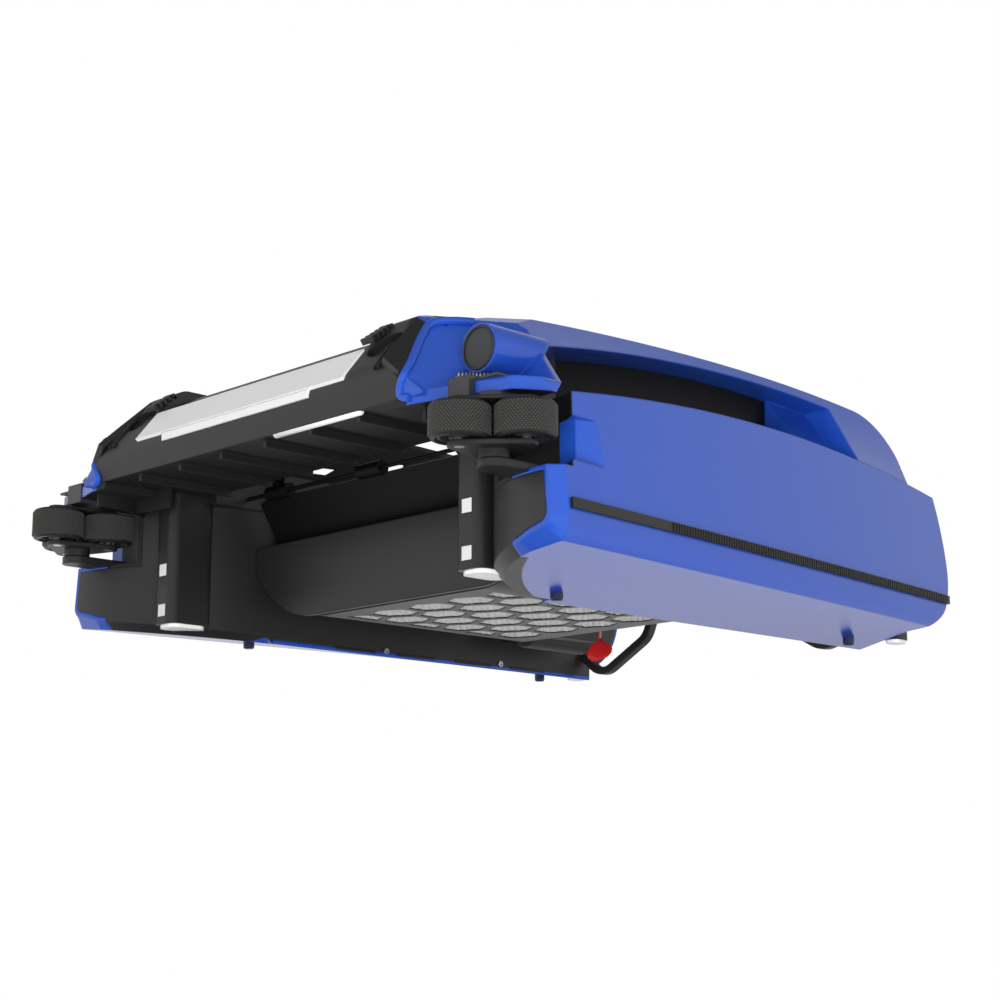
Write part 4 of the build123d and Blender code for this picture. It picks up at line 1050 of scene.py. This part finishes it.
@dataclass
class SolarCells(Detail):
    """Cells and silver bars on the solar panel.

    Attributes:
        columns: Cells across.
        rows: Cells along.
        front: Y and Z of the panel's plane at its front end.
        rear: Y and Z of the panel's plane at its rear end.
        inset: Bare border at the front and rear.
        half_width: Half the panel's width.
        gap: Distance between cells.
        lift: How far the cells stand proud.
        bars: Silver bars on each column.
        bar_width: Width of a bar.
    """

    columns: int = 9
    rows: int = 4
    front: tuple[float, float] = (0.101, 0.158)
    rear: tuple[float, float] = (0.227, 0.124)
    inset: float = 0.011
    half_width: float = 0.135
    gap: float = 0.0016
    lift: float = 0.0003
    bars: int = 2
    bar_width: float = 0.0008

    def plates(self) -> GrowthTree:
        """Build the tree of a grid of thin plates.

        Returns:
            The finished tree.
        """
        tree = GrowthTree("plates", width=0.2, length=0.1, columns=self.columns, rows=self.rows,
                          plate_x=0.02, plate_y=0.02, lift=self.lift)
        sockets = {"Size X": tree.size("width"), "Size Y": tree.size("length"),
                   "Vertices X": tree.size("columns"), "Vertices Y": tree.size("rows")}
        grid = tree.out("GeometryNodeMeshGrid", sockets)
        size = tree.vector(tree.size("plate_x"), tree.size("plate_y"), tree.size("lift"))
        tree.close(tree.plant(grid, tree.out("GeometryNodeMeshCube", {"Size": size}), NO_TURN))
        return tree

    def build(self) -> None:
        """Build the cells and the bars on the sloping panel."""
        run, fall = self.rear[0] - self.front[0], self.front[1] - self.rear[1]
        length = math.hypot(run, fall) - 2 * self.inset
        centre = (Vector((0.0, *self.front)) + Vector((0.0, *self.rear))) / 2
        slope = Matrix.Translation(centre) @ Matrix.Rotation(-math.atan2(fall, run), 4, "X")
        pitch_x, pitch_y = 2 * self.half_width / self.columns, length / self.rows
        tree = self.plates()
        cells = tree.grow(self.finishes[Slot.SOLAR], width=pitch_x * (self.columns - 1),
                          length=pitch_y * (self.rows - 1), plate_x=pitch_x - self.gap, plate_y=pitch_y - self.gap)
        count = self.columns * self.bars
        bars = tree.grow(self.finishes[Slot.STEEL], width=pitch_x / self.bars * (count - 1), length=0.0,
                         columns=count, rows=1, plate_x=self.bar_width, plate_y=length, lift=2 * self.lift)
        for name, mesh, slot in (("solar_cells", cells, Slot.SOLAR), ("solar_bars", bars, Slot.STEEL)):
            mesh.transform(slope)
            self.add(name, mesh, slot)


@dataclass
class Fasteners(Detail):
    """Socket screws that hold the mouldings together.

    Attributes:
        radius: Radius of a head.
        height: Height of a head.
        socket: Share of the head that the socket takes.
        sink: Share of the head's height that the socket is deep.
        sides: Flats round a head.
        places: Where each screw of the right-hand side sits and which way it faces.
    """

    radius: float = 0.0024
    height: float = 0.0012
    socket: float = 0.55
    sink: float = 0.7
    sides: int = 12
    places: Sequence[tuple[Point, Point]] = (
        ((0.137, 0.0013, 0.007), (-1.0, 0.0, 0.0)),
        ((0.137, 0.1212, 0.0074), (-1.0, 0.0, 0.0)),
        ((0.137, -0.06, 0.052), (-1.0, 0.0, 0.0)),
        ((0.137, 0.06, 0.09), (-1.0, 0.0, 0.0)),
        ((0.1, 0.234, 0.11), (0.0, 1.0, 0.0)),
        ((0.04, 0.234, 0.11), (0.0, 1.0, 0.0)),
        ((0.143, -0.17, 0.1665), (0.0, 0.0, 1.0)),
        ((0.143, -0.125, 0.1665), (0.0, 0.0, 1.0)),
    )

    def screw_tree(self) -> GrowthTree:
        """Build the tree of socket screws that face out of their points.

        Returns:
            The finished tree.
        """
        tree = GrowthTree("screws", radius=self.radius, height=self.height, socket=self.socket, sink=self.sink,
                          sides=self.sides)
        sockets = {"Vertices": tree.size("sides"), "Radius": tree.size("radius")}
        disc = tree.out("GeometryNodeMeshCircle", sockets, fill_type="NGON")
        head = tree.add("GeometryNodeExtrudeMesh", {"Mesh": disc, "Offset Scale": tree.size("height")})
        sockets = {"Mesh": head.outputs[0], "Selection": head.outputs["Top"], "Offset Scale": 0.0}
        ring = tree.add("GeometryNodeExtrudeMesh", sockets)
        sockets = {"Geometry": ring.outputs[0], "Selection": ring.outputs["Top"], "Scale": tree.size("socket")}
        rim = tree.out("GeometryNodeScaleElements", sockets)
        sockets = {"Mesh": rim, "Selection": ring.outputs["Top"],
                   "Offset Scale": tree.times(tree.size("height"), tree.size("sink"), -1.0)}
        screw = tree.out("GeometryNodeExtrudeMesh", sockets)
        facing = tree.out("GeometryNodeInputNamedAttribute", {"Name": "facing"}, data_type="FLOAT_VECTOR")
        turn = tree.out("FunctionNodeAlignRotationToVector", {"Vector": facing}, axis="Z")
        tree.close(tree.plant(tree.size("Geometry"), screw, turn))
        return tree

    def build(self) -> None:
        """Build the screws of both sides as one piece."""
        spots, ways = ([place for line in both_sides(pair[index] for pair in self.places) for place in line]
                       for index in (0, 1))
        mesh = polyline("screw_places", [[spot] for spot in spots])
        facing = mesh.attributes.new("facing", "FLOAT_VECTOR", "POINT")
        facing.data.foreach_set("vector", [value for way in ways for value in way])
        self.add("case_screws", self.screw_tree().grow(self.finishes[Slot.STEEL], mesh), Slot.STEEL)


@dataclass
class ClipSprings(Detail):
    """Coil springs that pull the roller clips on to the fenders.

    Attributes:
        ends: Ends of the right-hand spring.
        coil: Radius of the coil.
        wire: Radius of the wire.
        turns: Turns of the coil.
        flats: Straight runs in one turn.
        sides: Flats round the wire.
    """

    ends: Sequence[Point] = ((0.1935, -0.2315, 0.1128), (0.2098, -0.2108, 0.1122))
    coil: float = 0.0022
    wire: float = 0.0006
    turns: float = 13.0
    flats: int = 14
    sides: int = 6

    def spiral(self) -> GrowthTree:
        """Build the tree of one coil along Z.

        Returns:
            The finished tree.
        """
        tree = GrowthTree("spiral", coil=self.coil, wire=self.wire, turns=self.turns, flats=self.flats,
                          sides=self.sides, length=0.02)
        sockets = {"Resolution": tree.size("flats"), "Rotations": tree.size("turns"),
                   "Start Radius": tree.size("coil"), "End Radius": tree.size("coil"),
                   "Height": tree.size("length")}
        path = tree.out("GeometryNodeCurveSpiral", sockets)
        sockets = {"Resolution": tree.size("sides"), "Radius": tree.size("wire")}
        tree.close(tree.sweep(path, tree.out("GeometryNodeCurvePrimitiveCircle", sockets)))
        return tree

    def build(self) -> None:
        """Build one spring on each side."""
        tree = self.spiral()
        for side, (start, end) in zip(SIDES, both_sides(self.ends)):
            spring = tree.grow(self.finishes[Slot.STEEL], length=(end - start).length)
            turn = (end - start).to_track_quat("Z", "Y").to_matrix().to_4x4()
            spring.transform(Matrix.Translation(start) @ turn)
            self.add(f"{side}_clip_spring", spring, Slot.STEEL)


@dataclass
class HoodTrim(Detail):
    """Grip ridges and louvres on the hood's shoulders, and the pale strip under its lip.

    Attributes:
        ridge_x: Middle of the ridges.
        ridge_ends: Y and Z of the ends of the ridge line.
        ridge_pitch: Distance between ridges.
        ridge_size: Width, rise and thickness of a ridge.
        louvre_x: Places of the louvres.
        louvre_ends: Y and Z of the ends of a louvre.
        louvre_size: Width and rise of a louvre.
        lip_ends: X of the pale strip's ends.
        lip_place: Y and Z of the strip's axis.
        lip_radius: Radius of the strip.
        lip_tip: Share of the radius that is left at its ends.
        lip_round: Length of its rounded ends.
        lip_core: Radius of its closed middle.
        lip_sides: Flats round it.
    """

    ridge_x: float = 0.1145
    ridge_ends: Profile = ((-0.231, 0.1505), (-0.2165, 0.161))
    ridge_pitch: float = 0.0043
    ridge_size: Point = (0.011, 0.004, 0.0022)
    louvre_x: Sequence[float] = (0.1375, 0.1415)
    louvre_ends: Profile = ((-0.2395, 0.1335), (-0.2265, 0.1502))
    louvre_size: tuple[float, float] = (0.0012, 0.0024)
    lip_ends: tuple[float, float] = (0.036, 0.12)
    lip_place: tuple[float, float] = (-0.2396, 0.1042)
    lip_radius: float = 0.0024
    lip_tip: float = 0.6
    lip_round: float = 0.001
    lip_core: float = 0.0001
    lip_sides: int = 16

    def build(self) -> None:
        """Build the trim of both shoulders and the strip."""
        ridges = both_sides((self.ridge_x, *end) for end in self.ridge_ends)
        self.ribs("shoulder_ridges", ridges, Slot.BLACK, self.ridge_pitch, self.ridge_size)
        louvres = [line for x in self.louvre_x for line in both_sides((x, *end) for end in self.louvre_ends)]
        length = math.dist(*self.louvre_ends)
        self.ribs("cheek_louvres", louvres, Slot.BLACK, length, (*self.louvre_size, length))
        start, end = self.lip_ends
        half, tip = (end - start) / 2, self.lip_radius * self.lip_tip
        profile = [(self.lip_core, -half), (tip, -half), (self.lip_radius, -half + self.lip_round),
                   (self.lip_radius, half - self.lip_round), (tip, half), (self.lip_core, half)]
        strip = lathe("lip_strip", profile, self.lip_sides)
        strip.transform(Matrix.Translation(((start + end) / 2, *self.lip_place))
                        @ Matrix.Rotation(math.pi / 2, 4, "Y"))
        self.add("lip_strip", strip, Slot.PALE)


@dataclass
class SensorBezels(Detail):
    """Thin dark rings round the sensor faces.

    Attributes:
        inner: Inner radius.
        outer: Outer radius.
        proud: How far a ring stands out of the pod.
        segments: Faces round a ring.
    """

    inner: float = 0.0118
    outer: float = 0.0134
    proud: float = 0.0008
    segments: int = 40

    def build(self) -> None:
        """Build one ring on each pod."""
        low, high = span("sensor_faces")
        reach = high.x - (high.z - low.z) / 2
        profile = [(self.inner, 0.0), (self.outer, 0.0), (self.outer, self.proud / 2),
                   (self.outer - self.proud / 2, self.proud), (self.inner, self.proud)]
        for side, sign in SIDES.items():
            ring = lathe(f"{side}_bezel", profile, self.segments)
            ring.transform(Matrix.Translation((sign * reach, low.y, (low.z + high.z) / 2))
                           @ Matrix.Rotation(math.pi / 2, 4, "X"))
            self.add(f"{side}_sensor_bezel", ring, Slot.LENS)


@dataclass
class InnerWalls(Detail):
    """Black walls between the hand openings and the basket, with windows on the left, in a darker black that
    paints their shade.

    Attributes:
        inner_x: Inner face of the right-hand wall.
        thick: Thickness of a wall.
        ends_y: Front end, inside the hood, and rear end, inside the deck.
        crown: Y and Z of three points along the pontoon's top.
        sink: How far the wall stands in the pontoon.
        arch: Y and Z of three points along the wall's top.
        windows: Y and Z of the corners of each window.
        steps: Points along each curve.
    """

    inner_x: float = 0.1492
    thick: float = 0.0027
    ends_y: tuple[float, float] = (-0.12, 0.108)
    crown: Profile = ((-0.216, 0.098), (0.0275, 0.122), (0.267, 0.111))
    sink: float = 0.006
    arch: Profile = ((-0.12, 0.1685), (-0.01, 0.1735), (0.108, 0.1675))
    windows: Sequence[Profile] = (
        ((-0.078, 0.136), (-0.05, 0.1375), (-0.04, 0.1435), (-0.068, 0.142)),
        ((0.0, 0.146), (0.022, 0.1475), (0.03, 0.158), (0.014, 0.1565)),
        ((0.05, 0.155), (0.072, 0.1565), (0.062, 0.1625), (0.044, 0.1605)),
    )
    steps: int = 20

    def bend(self, points: Profile, y: float) -> float:
        """Give the height of a smooth curve through three points.

        Args:
            points: Y and Z of the three points.
            y: Where the height is wanted.

        Returns:
            The height.
        """
        total = 0.0
        for index, (here, height) in enumerate(points):
            others = [other for other, _ in (*points[:index], *points[index + 1:])]
            total += height * math.prod((y - other) / (here - other) for other in others)
        return total

    def build(self) -> None:
        """Build one wall on each side."""
        front, rear = self.ends_y
        runs = [front + (rear - front) * step / self.steps for step in range(self.steps + 1)]
        low = [(y, self.bend(self.crown, y) - self.sink) for y in runs]
        high = [(y, self.bend(self.arch, y)) for y in reversed(runs)]
        # the walls take the darker black, painted shade
        black = SHADED_INNER_PAINT.material()
        for side, sign in SIDES.items():
            loops = [[*low, *high], *(self.windows if side == "left" else ())]
            outline, *windows = [[(sign * self.inner_x, *place) for place in loop] for loop in loops]
            wall = prism(f"{side}_inner_wall", outline, (sign * self.thick, 0.0, 0.0), windows)
            wall.materials.append(black)
            self.add(f"{side}_inner_wall", wall, Slot.BLACK)


@dataclass
class PocketSeals(Detail):
    """Rubber walls that close the slots between each roller pocket, the bow fin and the fender's flange.

    Attributes:
        inner: Radius of the curved wall's face towards the rollers.
        thick: Thickness of the curved wall.
        low: Height of both walls' feet, inside the pontoon.
        high: Height of the curved wall's top, against the flange.
        arc: Angles of its ends, from outwards along X, in degrees.
        steps: Flats along it.
        web: X and Y of the corners of the straight wall.
        web_high: Height of the straight wall's top.
    """

    inner: float = 0.0452
    thick: float = 0.0022
    low: float = 0.09
    high: float = 0.1003
    arc: tuple[float, float] = (80.0, 196.0)
    steps: int = 24
    web: Profile = ((0.1775, -0.2035), (0.139, -0.1975), (0.139, -0.1945), (0.1775, -0.2005))
    web_high: float = 0.108

    def build(self) -> None:
        """Build both walls on each side."""
        start, end = self.arc
        angles = [math.radians(start + (end - start) * step / self.steps) for step in range(self.steps + 1)]
        inner, outer = ([(AXLE[0] + reach * math.cos(a), AXLE[1] + reach * math.sin(a)) for a in angles]
                        for reach in (self.inner, self.inner + self.thick))
        walls = (("seal", [*inner, *reversed(outer)], self.high), ("web", self.web, self.web_high))
        for side, sign in SIDES.items():
            for kind, outline, high in walls:
                places = [(sign * x, y, self.low) for x, y in outline]
                wall = prism(f"{side}_pocket_{kind}", places, (0.0, 0.0, high - self.low))
                self.add(f"{side}_pocket_{kind}", wall, Slot.RUBBER)


@dataclass
class AlcoveFrames(Detail):
    """Rounded frame round each sensor alcove, with the corner below it and the black trim beside it.

    Attributes:
        bead: Points along the right-hand frame, from the lip upwards.
        radius: Radius of the frame.
        corner: Corners of the blue piece that fills the frame's lower corner.
        corner_depth: Thickness of that piece.
        trim: Corners of the black trim between the frame and the hood.
        facing: Which way the alcove's wall and the trim face.
        trim_sink: How far the trim lies in the wall.
        trim_depth: Thickness of the trim.
    """

    bead: Sequence[Point] = (
        (0.166, -0.2425, 0.1032), (0.1605, -0.243, 0.1042), (0.1583, -0.2436, 0.1065), (0.1596, -0.2442, 0.111),
        (0.1622, -0.244, 0.117), (0.1608, -0.2383, 0.1249), (0.1567, -0.2308, 0.1345), (0.1527, -0.2235, 0.1438),
        (0.1495, -0.217, 0.1516), (0.1479, -0.2121, 0.1567), (0.1485, -0.207, 0.1597), (0.1512, -0.2014, 0.1608),
        (0.1548, -0.195, 0.1614), (0.1601, -0.1868, 0.1613))
    radius: float = 0.0026
    corner: Sequence[Point] = (
        (0.1625, -0.2446, 0.1175), (0.1765, -0.2434, 0.1062), (0.1765, -0.2429, 0.1035), (0.159, -0.2429, 0.1035),
        (0.1585, -0.2441, 0.107), (0.16, -0.2448, 0.112))
    corner_depth: float = 0.004
    trim: Sequence[Point] = (
        (0.1395, -0.2146, 0.1625), (0.145, -0.2346, 0.1431), (0.1495, -0.2492, 0.1285), (0.1605, -0.2464, 0.1186),
        (0.1608, -0.2383, 0.1244), (0.1567, -0.2308, 0.134), (0.1527, -0.2235, 0.1433), (0.1495, -0.217, 0.1511),
        (0.1479, -0.2121, 0.1562))
    facing: Point = (0.6584, -0.429, 0.6185)
    trim_sink: float = 0.004
    trim_depth: float = 0.0048

    def build(self) -> None:
        """Build the frame, corner and trim of each side."""
        tree = BeadTree()
        sides = zip(SIDES, *(both_sides(line) for line in (self.bead, self.corner, self.trim, [self.facing])))
        for side, bead, corner, trim, (out,) in sides:
            frame = tree.grow(self.finishes[Slot.BLUE], polyline("frame_line", [bead]), radius=self.radius)
            self.add(f"{side}_alcove_frame", smooth(frame), Slot.BLUE)
            block = prism(f"{side}_alcove_corner", corner, (0.0, self.corner_depth, 0.0))
            self.add(f"{side}_alcove_corner", block, Slot.BLUE)
            sunk = [place - out * self.trim_sink for place in trim]
            self.add(f"{side}_alcove_trim", prism("trim", sunk, out * self.trim_depth), Slot.BLACK)


@dataclass
class ScrewPropellers(Detail):
    """Broad-bladed propellers on turned hubs.

    Attributes:
        blades: Blades of one propeller.
        stations: Radius, chord, pitch in degrees and rake of the blade at each step outwards.
        thick: Thickness of a blade.
        thinning: Share of the thickness that is lost towards a blade's edges.
        across: Steps across a blade.
        hub: Radius and height of the hub's outline.
        hub_sides: Faces round the hub.
    """

    blades: int = 3
    stations: Sequence[tuple[float, float, float, float]] = (
        (0.005, 0.0115, 62.0, 0.0), (0.009, 0.017, 55.0, 0.0004), (0.0137, 0.0212, 47.0, 0.001),
        (0.0183, 0.0215, 40.0, 0.0018), (0.0213, 0.017, 35.0, 0.0024), (0.0229, 0.0095, 32.0, 0.0028))
    thick: float = 0.0018
    thinning: float = 0.75
    across: int = 5
    hub: Profile = ((0.0022, -0.0075), (0.0058, -0.0075), (0.0065, -0.0066), (0.0065, 0.0035), (0.0056, 0.006),
                    (0.004, 0.0072), (0.0022, 0.0075))
    hub_sides: int = 32

    def blade(self) -> Mesh:
        """Shape one blade along X, with the axle along Z.

        Returns:
            The closed blade.
        """
        places: list[Point] = []
        for level in (-1, 1):
            for radius, chord, pitch, rake in self.stations:
                lean = math.radians(pitch)
                for step in range(self.across + 1):
                    share = 2 * step / self.across - 1
                    swell = level * self.thick / 2 * (1 - self.thinning * share**2)
                    along, out = share * chord / 2, swell + rake
                    places.append((radius, along * math.cos(lean) - out * math.sin(lean),
                                   along * math.sin(lean) + out * math.cos(lean)))
        width, rows = self.across + 1, len(self.stations)
        half = width * rows
        faces = []
        for level in (0, half):
            for row in range(rows - 1):
                for step in range(self.across):
                    here = level + row * width + step
                    faces.append((here, here + 1, here + width + 1, here + width))
        rim = [*range(width), *[row * width + self.across for row in range(1, rows)],
               *[(rows - 1) * width + step for step in reversed(range(self.across))],
               *[row * width for row in reversed(range(1, rows - 1))]]
        for here, there in zip(rim, [*rim[1:], rim[0]]):
            faces.append((here, there, there + half, here + half))
        return turn_out(smooth(make_mesh("blade", places, (), faces)))

    def build(self) -> None:
        """Build both propellers, the left one of the other hand."""
        tree = RingTree()
        for side, sign in SIDES.items():
            node, body = f"{side}_propeller", f"{side}_screw"
            low, high = span(node)
            place = Matrix.Translation((low + high) / 2) @ Matrix.Rotation(-math.pi / 2, 4, "X")
            fan = tree.grow(self.finishes[Slot.RED], self.blade(), count=self.blades)
            fan.transform(place @ Matrix.Diagonal((sign, 1.0, 1.0, 1.0)))
            hub = lathe(f"{side}_propeller_hub", self.hub, self.hub_sides)
            hub.transform(place)
            self.add(f"{side}_propeller_blades", turn_out(fan), Slot.RED, body, node)
            self.add(f"{side}_propeller_hub", hub, Slot.RED, body)


@dataclass
class Studio:
    """Pale floor, soft lamps, white surroundings and the camera.

    Attributes:
        azimuth: Degrees that the camera is turned from facing the bow.
        pitch: Degrees that the camera looks up.
        place: Where the camera stands.
        lens: Focal length in millimetres on a sensor of the default width.
        near: Distance at which the camera begins to see.
        floor_half: Half the floor's side.
        floor_drop: How far the floor lies under the hull's nubs.
        floor_colour: Colour of the floor.
        floor_roughness: Roughness of the floor.
        floor_glow: How much the floor is lifted towards white where it is seen.
        floor_fade: Distances between which the floor fades into the surroundings.
        ambient: Strength of the light from all round.
        low_glow: Height below the horizon at which mirrored surroundings are darkest, height at which they
            are white, and how dark they get.
        high_glow: The same above the horizon.
        target: Point that the lamps face.
        lamps: Name, place, side and power of each lamp.
    """

    azimuth: float = 46.06
    pitch: float = 11.79
    place: Point = (0.985, -0.960, -0.184)
    lens: float = 70.49
    near: float = 0.01
    floor_half: float = 12.0
    floor_drop: float = 0.0004
    floor_colour: Colour = screen(240, 240, 240)
    floor_roughness: float = 0.9
    floor_glow: float = 0.3
    floor_fade: tuple[float, float] = (0.7, 2.2)
    ambient: float = 0.15
    low_glow: tuple[float, float, float] = (-0.75, -0.45, 0.15)
    high_glow: tuple[float, float, float] = (0.85, 0.35, 0.1)
    target: Point = (0.0, 0.0, 0.08)
    lamps: Sequence[tuple[str, Point, float, float]] = (
        ("key_lamp", (1.4, -1.36, -0.5), 1.2, 47.0),
        ("top_lamp", (0.2, -0.2, 2.1), 1.8, 22.0),
        ("left_lamp", (-2.0, -0.2, 0.6), 1.6, 14.0),
        ("back_lamp", (-0.2, 2.0, 0.9), 1.6, 16.0),
    )

    def build(self) -> None:
        """Set up everything round the object."""
        bpy.context.scene.view_settings.view_transform = "Standard"
        self.floor()
        self.surroundings()
        for lamp in self.lamps:
            self.lamp(*lamp)
        self.camera()

    def floor(self) -> None:
        """Lay a pale floor that is clear from below and lets lamps under it through."""
        half = self.floor_half
        edges = [(-half, -half), (half, -half), (half, half), (-half, half)]
        mesh = make_mesh("floor", [(x, y, -self.floor_drop) for x, y in edges], (), [(0, 1, 2, 3)])
        floor = bpy.data.objects.new("floor", mesh)
        bpy.context.scene.collection.objects.link(floor)
        graph = ShaderGraph("pale_floor")
        inputs = graph.surface.inputs
        inputs["Base Color"].default_value = self.floor_colour
        inputs["Roughness"].default_value = self.floor_roughness
        inputs["Emission Color"].default_value = WHITE
        path = graph.add("ShaderNodeLightPath").outputs
        back = graph.add("ShaderNodeNewGeometry").outputs["Backfacing"]
        far = graph.add("ShaderNodeVectorMath", {0: graph.place}, operation="LENGTH").outputs["Value"]
        clear = graph.either(back, path["Is Shadow Ray"], path["Is Glossy Ray"],
                             graph.spread(far, 0.0, 1.0, *self.floor_fade))
        graph.feed(inputs["Emission Strength"], graph.times(path["Is Camera Ray"], self.floor_glow))
        glass = graph.out("ShaderNodeBsdfTransparent")
        mixed = graph.out("ShaderNodeMixShader", {0: clear, 1: graph.surface.outputs[0], 2: glass})
        graph.feed(graph.tree.nodes["Material Output"].inputs["Surface"], mixed)
        mesh.materials.append(graph.material)

    def surroundings(self) -> None:
        """Make the world white where it is seen or mirrored, and an even light elsewhere."""
        world = bpy.data.worlds.new("white_surroundings")
        bpy.context.scene.world = world
        world.use_nodes = True
        graph = Graph()
        graph.tree = world.node_tree
        background = graph.tree.nodes["Background"].inputs
        background["Color"].default_value = WHITE
        path = graph.add("ShaderNodeLightPath").outputs
        height = graph.parts(graph.add("ShaderNodeTexCoord").outputs["Generated"])[2]
        bands = [graph.spread(height, least, 1.0, dark, white)
                 for dark, white, least in (self.low_glow, self.high_glow)]
        mirrored = graph.spread(path["Is Glossy Ray"], self.ambient, graph.math("MINIMUM", *bands))
        seen = graph.math("MAXIMUM", path["Is Camera Ray"], path["Is Transmission Ray"])
        graph.feed(background["Strength"], graph.spread(seen, mirrored, 1.0))

    def lamp(self, name: str, place: Point, size: float, power: float) -> None:
        """Hang one soft square lamp.

        Args:
            name: Name of the lamp.
            place: Where it hangs.
            size: Side of the square.
            power: Power in watts.
        """
        data = bpy.data.lights.new(name, "AREA")
        data.size = size
        data.energy = power
        lamp = bpy.data.objects.new(name, data)
        lamp.location = place
        lamp.rotation_euler = (Vector(self.target) - Vector(place)).to_track_quat("-Z", "Y").to_euler()
        lamp.visible_camera = False
        lamp.visible_glossy = False
        bpy.context.scene.collection.objects.link(lamp)

    def camera(self) -> None:
        """Stand the camera at the photograph's place."""
        turn, rise = math.radians(self.azimuth), math.radians(self.pitch)
        look = Vector((-math.sin(turn) * math.cos(rise), math.cos(turn) * math.cos(rise), math.sin(rise)))
        data = bpy.data.cameras.new("camera")
        data.lens = self.lens
        data.clip_start = self.near
        camera = bpy.data.objects.new("camera", data)
        camera.location = self.place
        camera.rotation_euler = look.to_track_quat("-Z", "Y").to_euler()
        bpy.context.scene.collection.objects.link(camera)
        bpy.context.scene.camera = camera


@dataclass
class Wardrobe:
    """Gives every frame node the finish that its slot asks for.

    Attributes:
        special: Finish of each node that differs from its slot's.
    """

    frame: dict[str, Any]
    special: dict[str, Moulding] = field(default_factory=lambda: {
        "hull_nubs": NUB_PAINT,
        "foot_pads": PAD_PAINT,
        # the flap and its rod take the darker black, painted shade
        "inlet_flap": SHADED_INNER_PAINT,
        "flap_rod": SHADED_INNER_PAINT,
        **{f"{side}_side_fender": FENDER_PAINT for side in SIDES},
        **{f"{side}_pontoon_shell": SHELL_PAINT for side in SIDES},
    })

    def dress(self) -> dict[Slot, Material]:
        """Make the materials and put them on the nodes.

        Returns:
            The material of each slot.
        """
        made = {slot: finish.material() for slot, finish in FINISHES.items()}
        paints = {paint: paint.material() for paint in dict.fromkeys(self.special.values())}
        for subpart in self.frame["record"]["subparts"]:
            name, slot = subpart["node"], subpart["material_slot"]
            paint = self.special.get(name)
            mesh = self.frame["nodes"][name].data
            mesh.materials.clear()
            mesh.materials.append(paints[paint] if paint else made[Slot(slot)])
            LOG.info("dressed %s in %s", name, slot)
        return made


DETAILS: Sequence[type[Detail]] = (
    BumperRollers, ScrewPropellers, InnerWalls, PocketSeals, AlcoveFrames, SideStrips, KeelPlugs, BasketNet,
    SolarCells, Fasteners, ClipSprings, HoodTrim, SensorBezels)


def main() -> None:
    """Load the frame, dress it, add its finer pieces and light it."""
    logging.basicConfig(level=logging.INFO)
    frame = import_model()
    Studio().build()
    finishes = Wardrobe(frame).dress()
    for detail in DETAILS:
        detail(finishes).build()


if __name__ == "__main__":
    main()
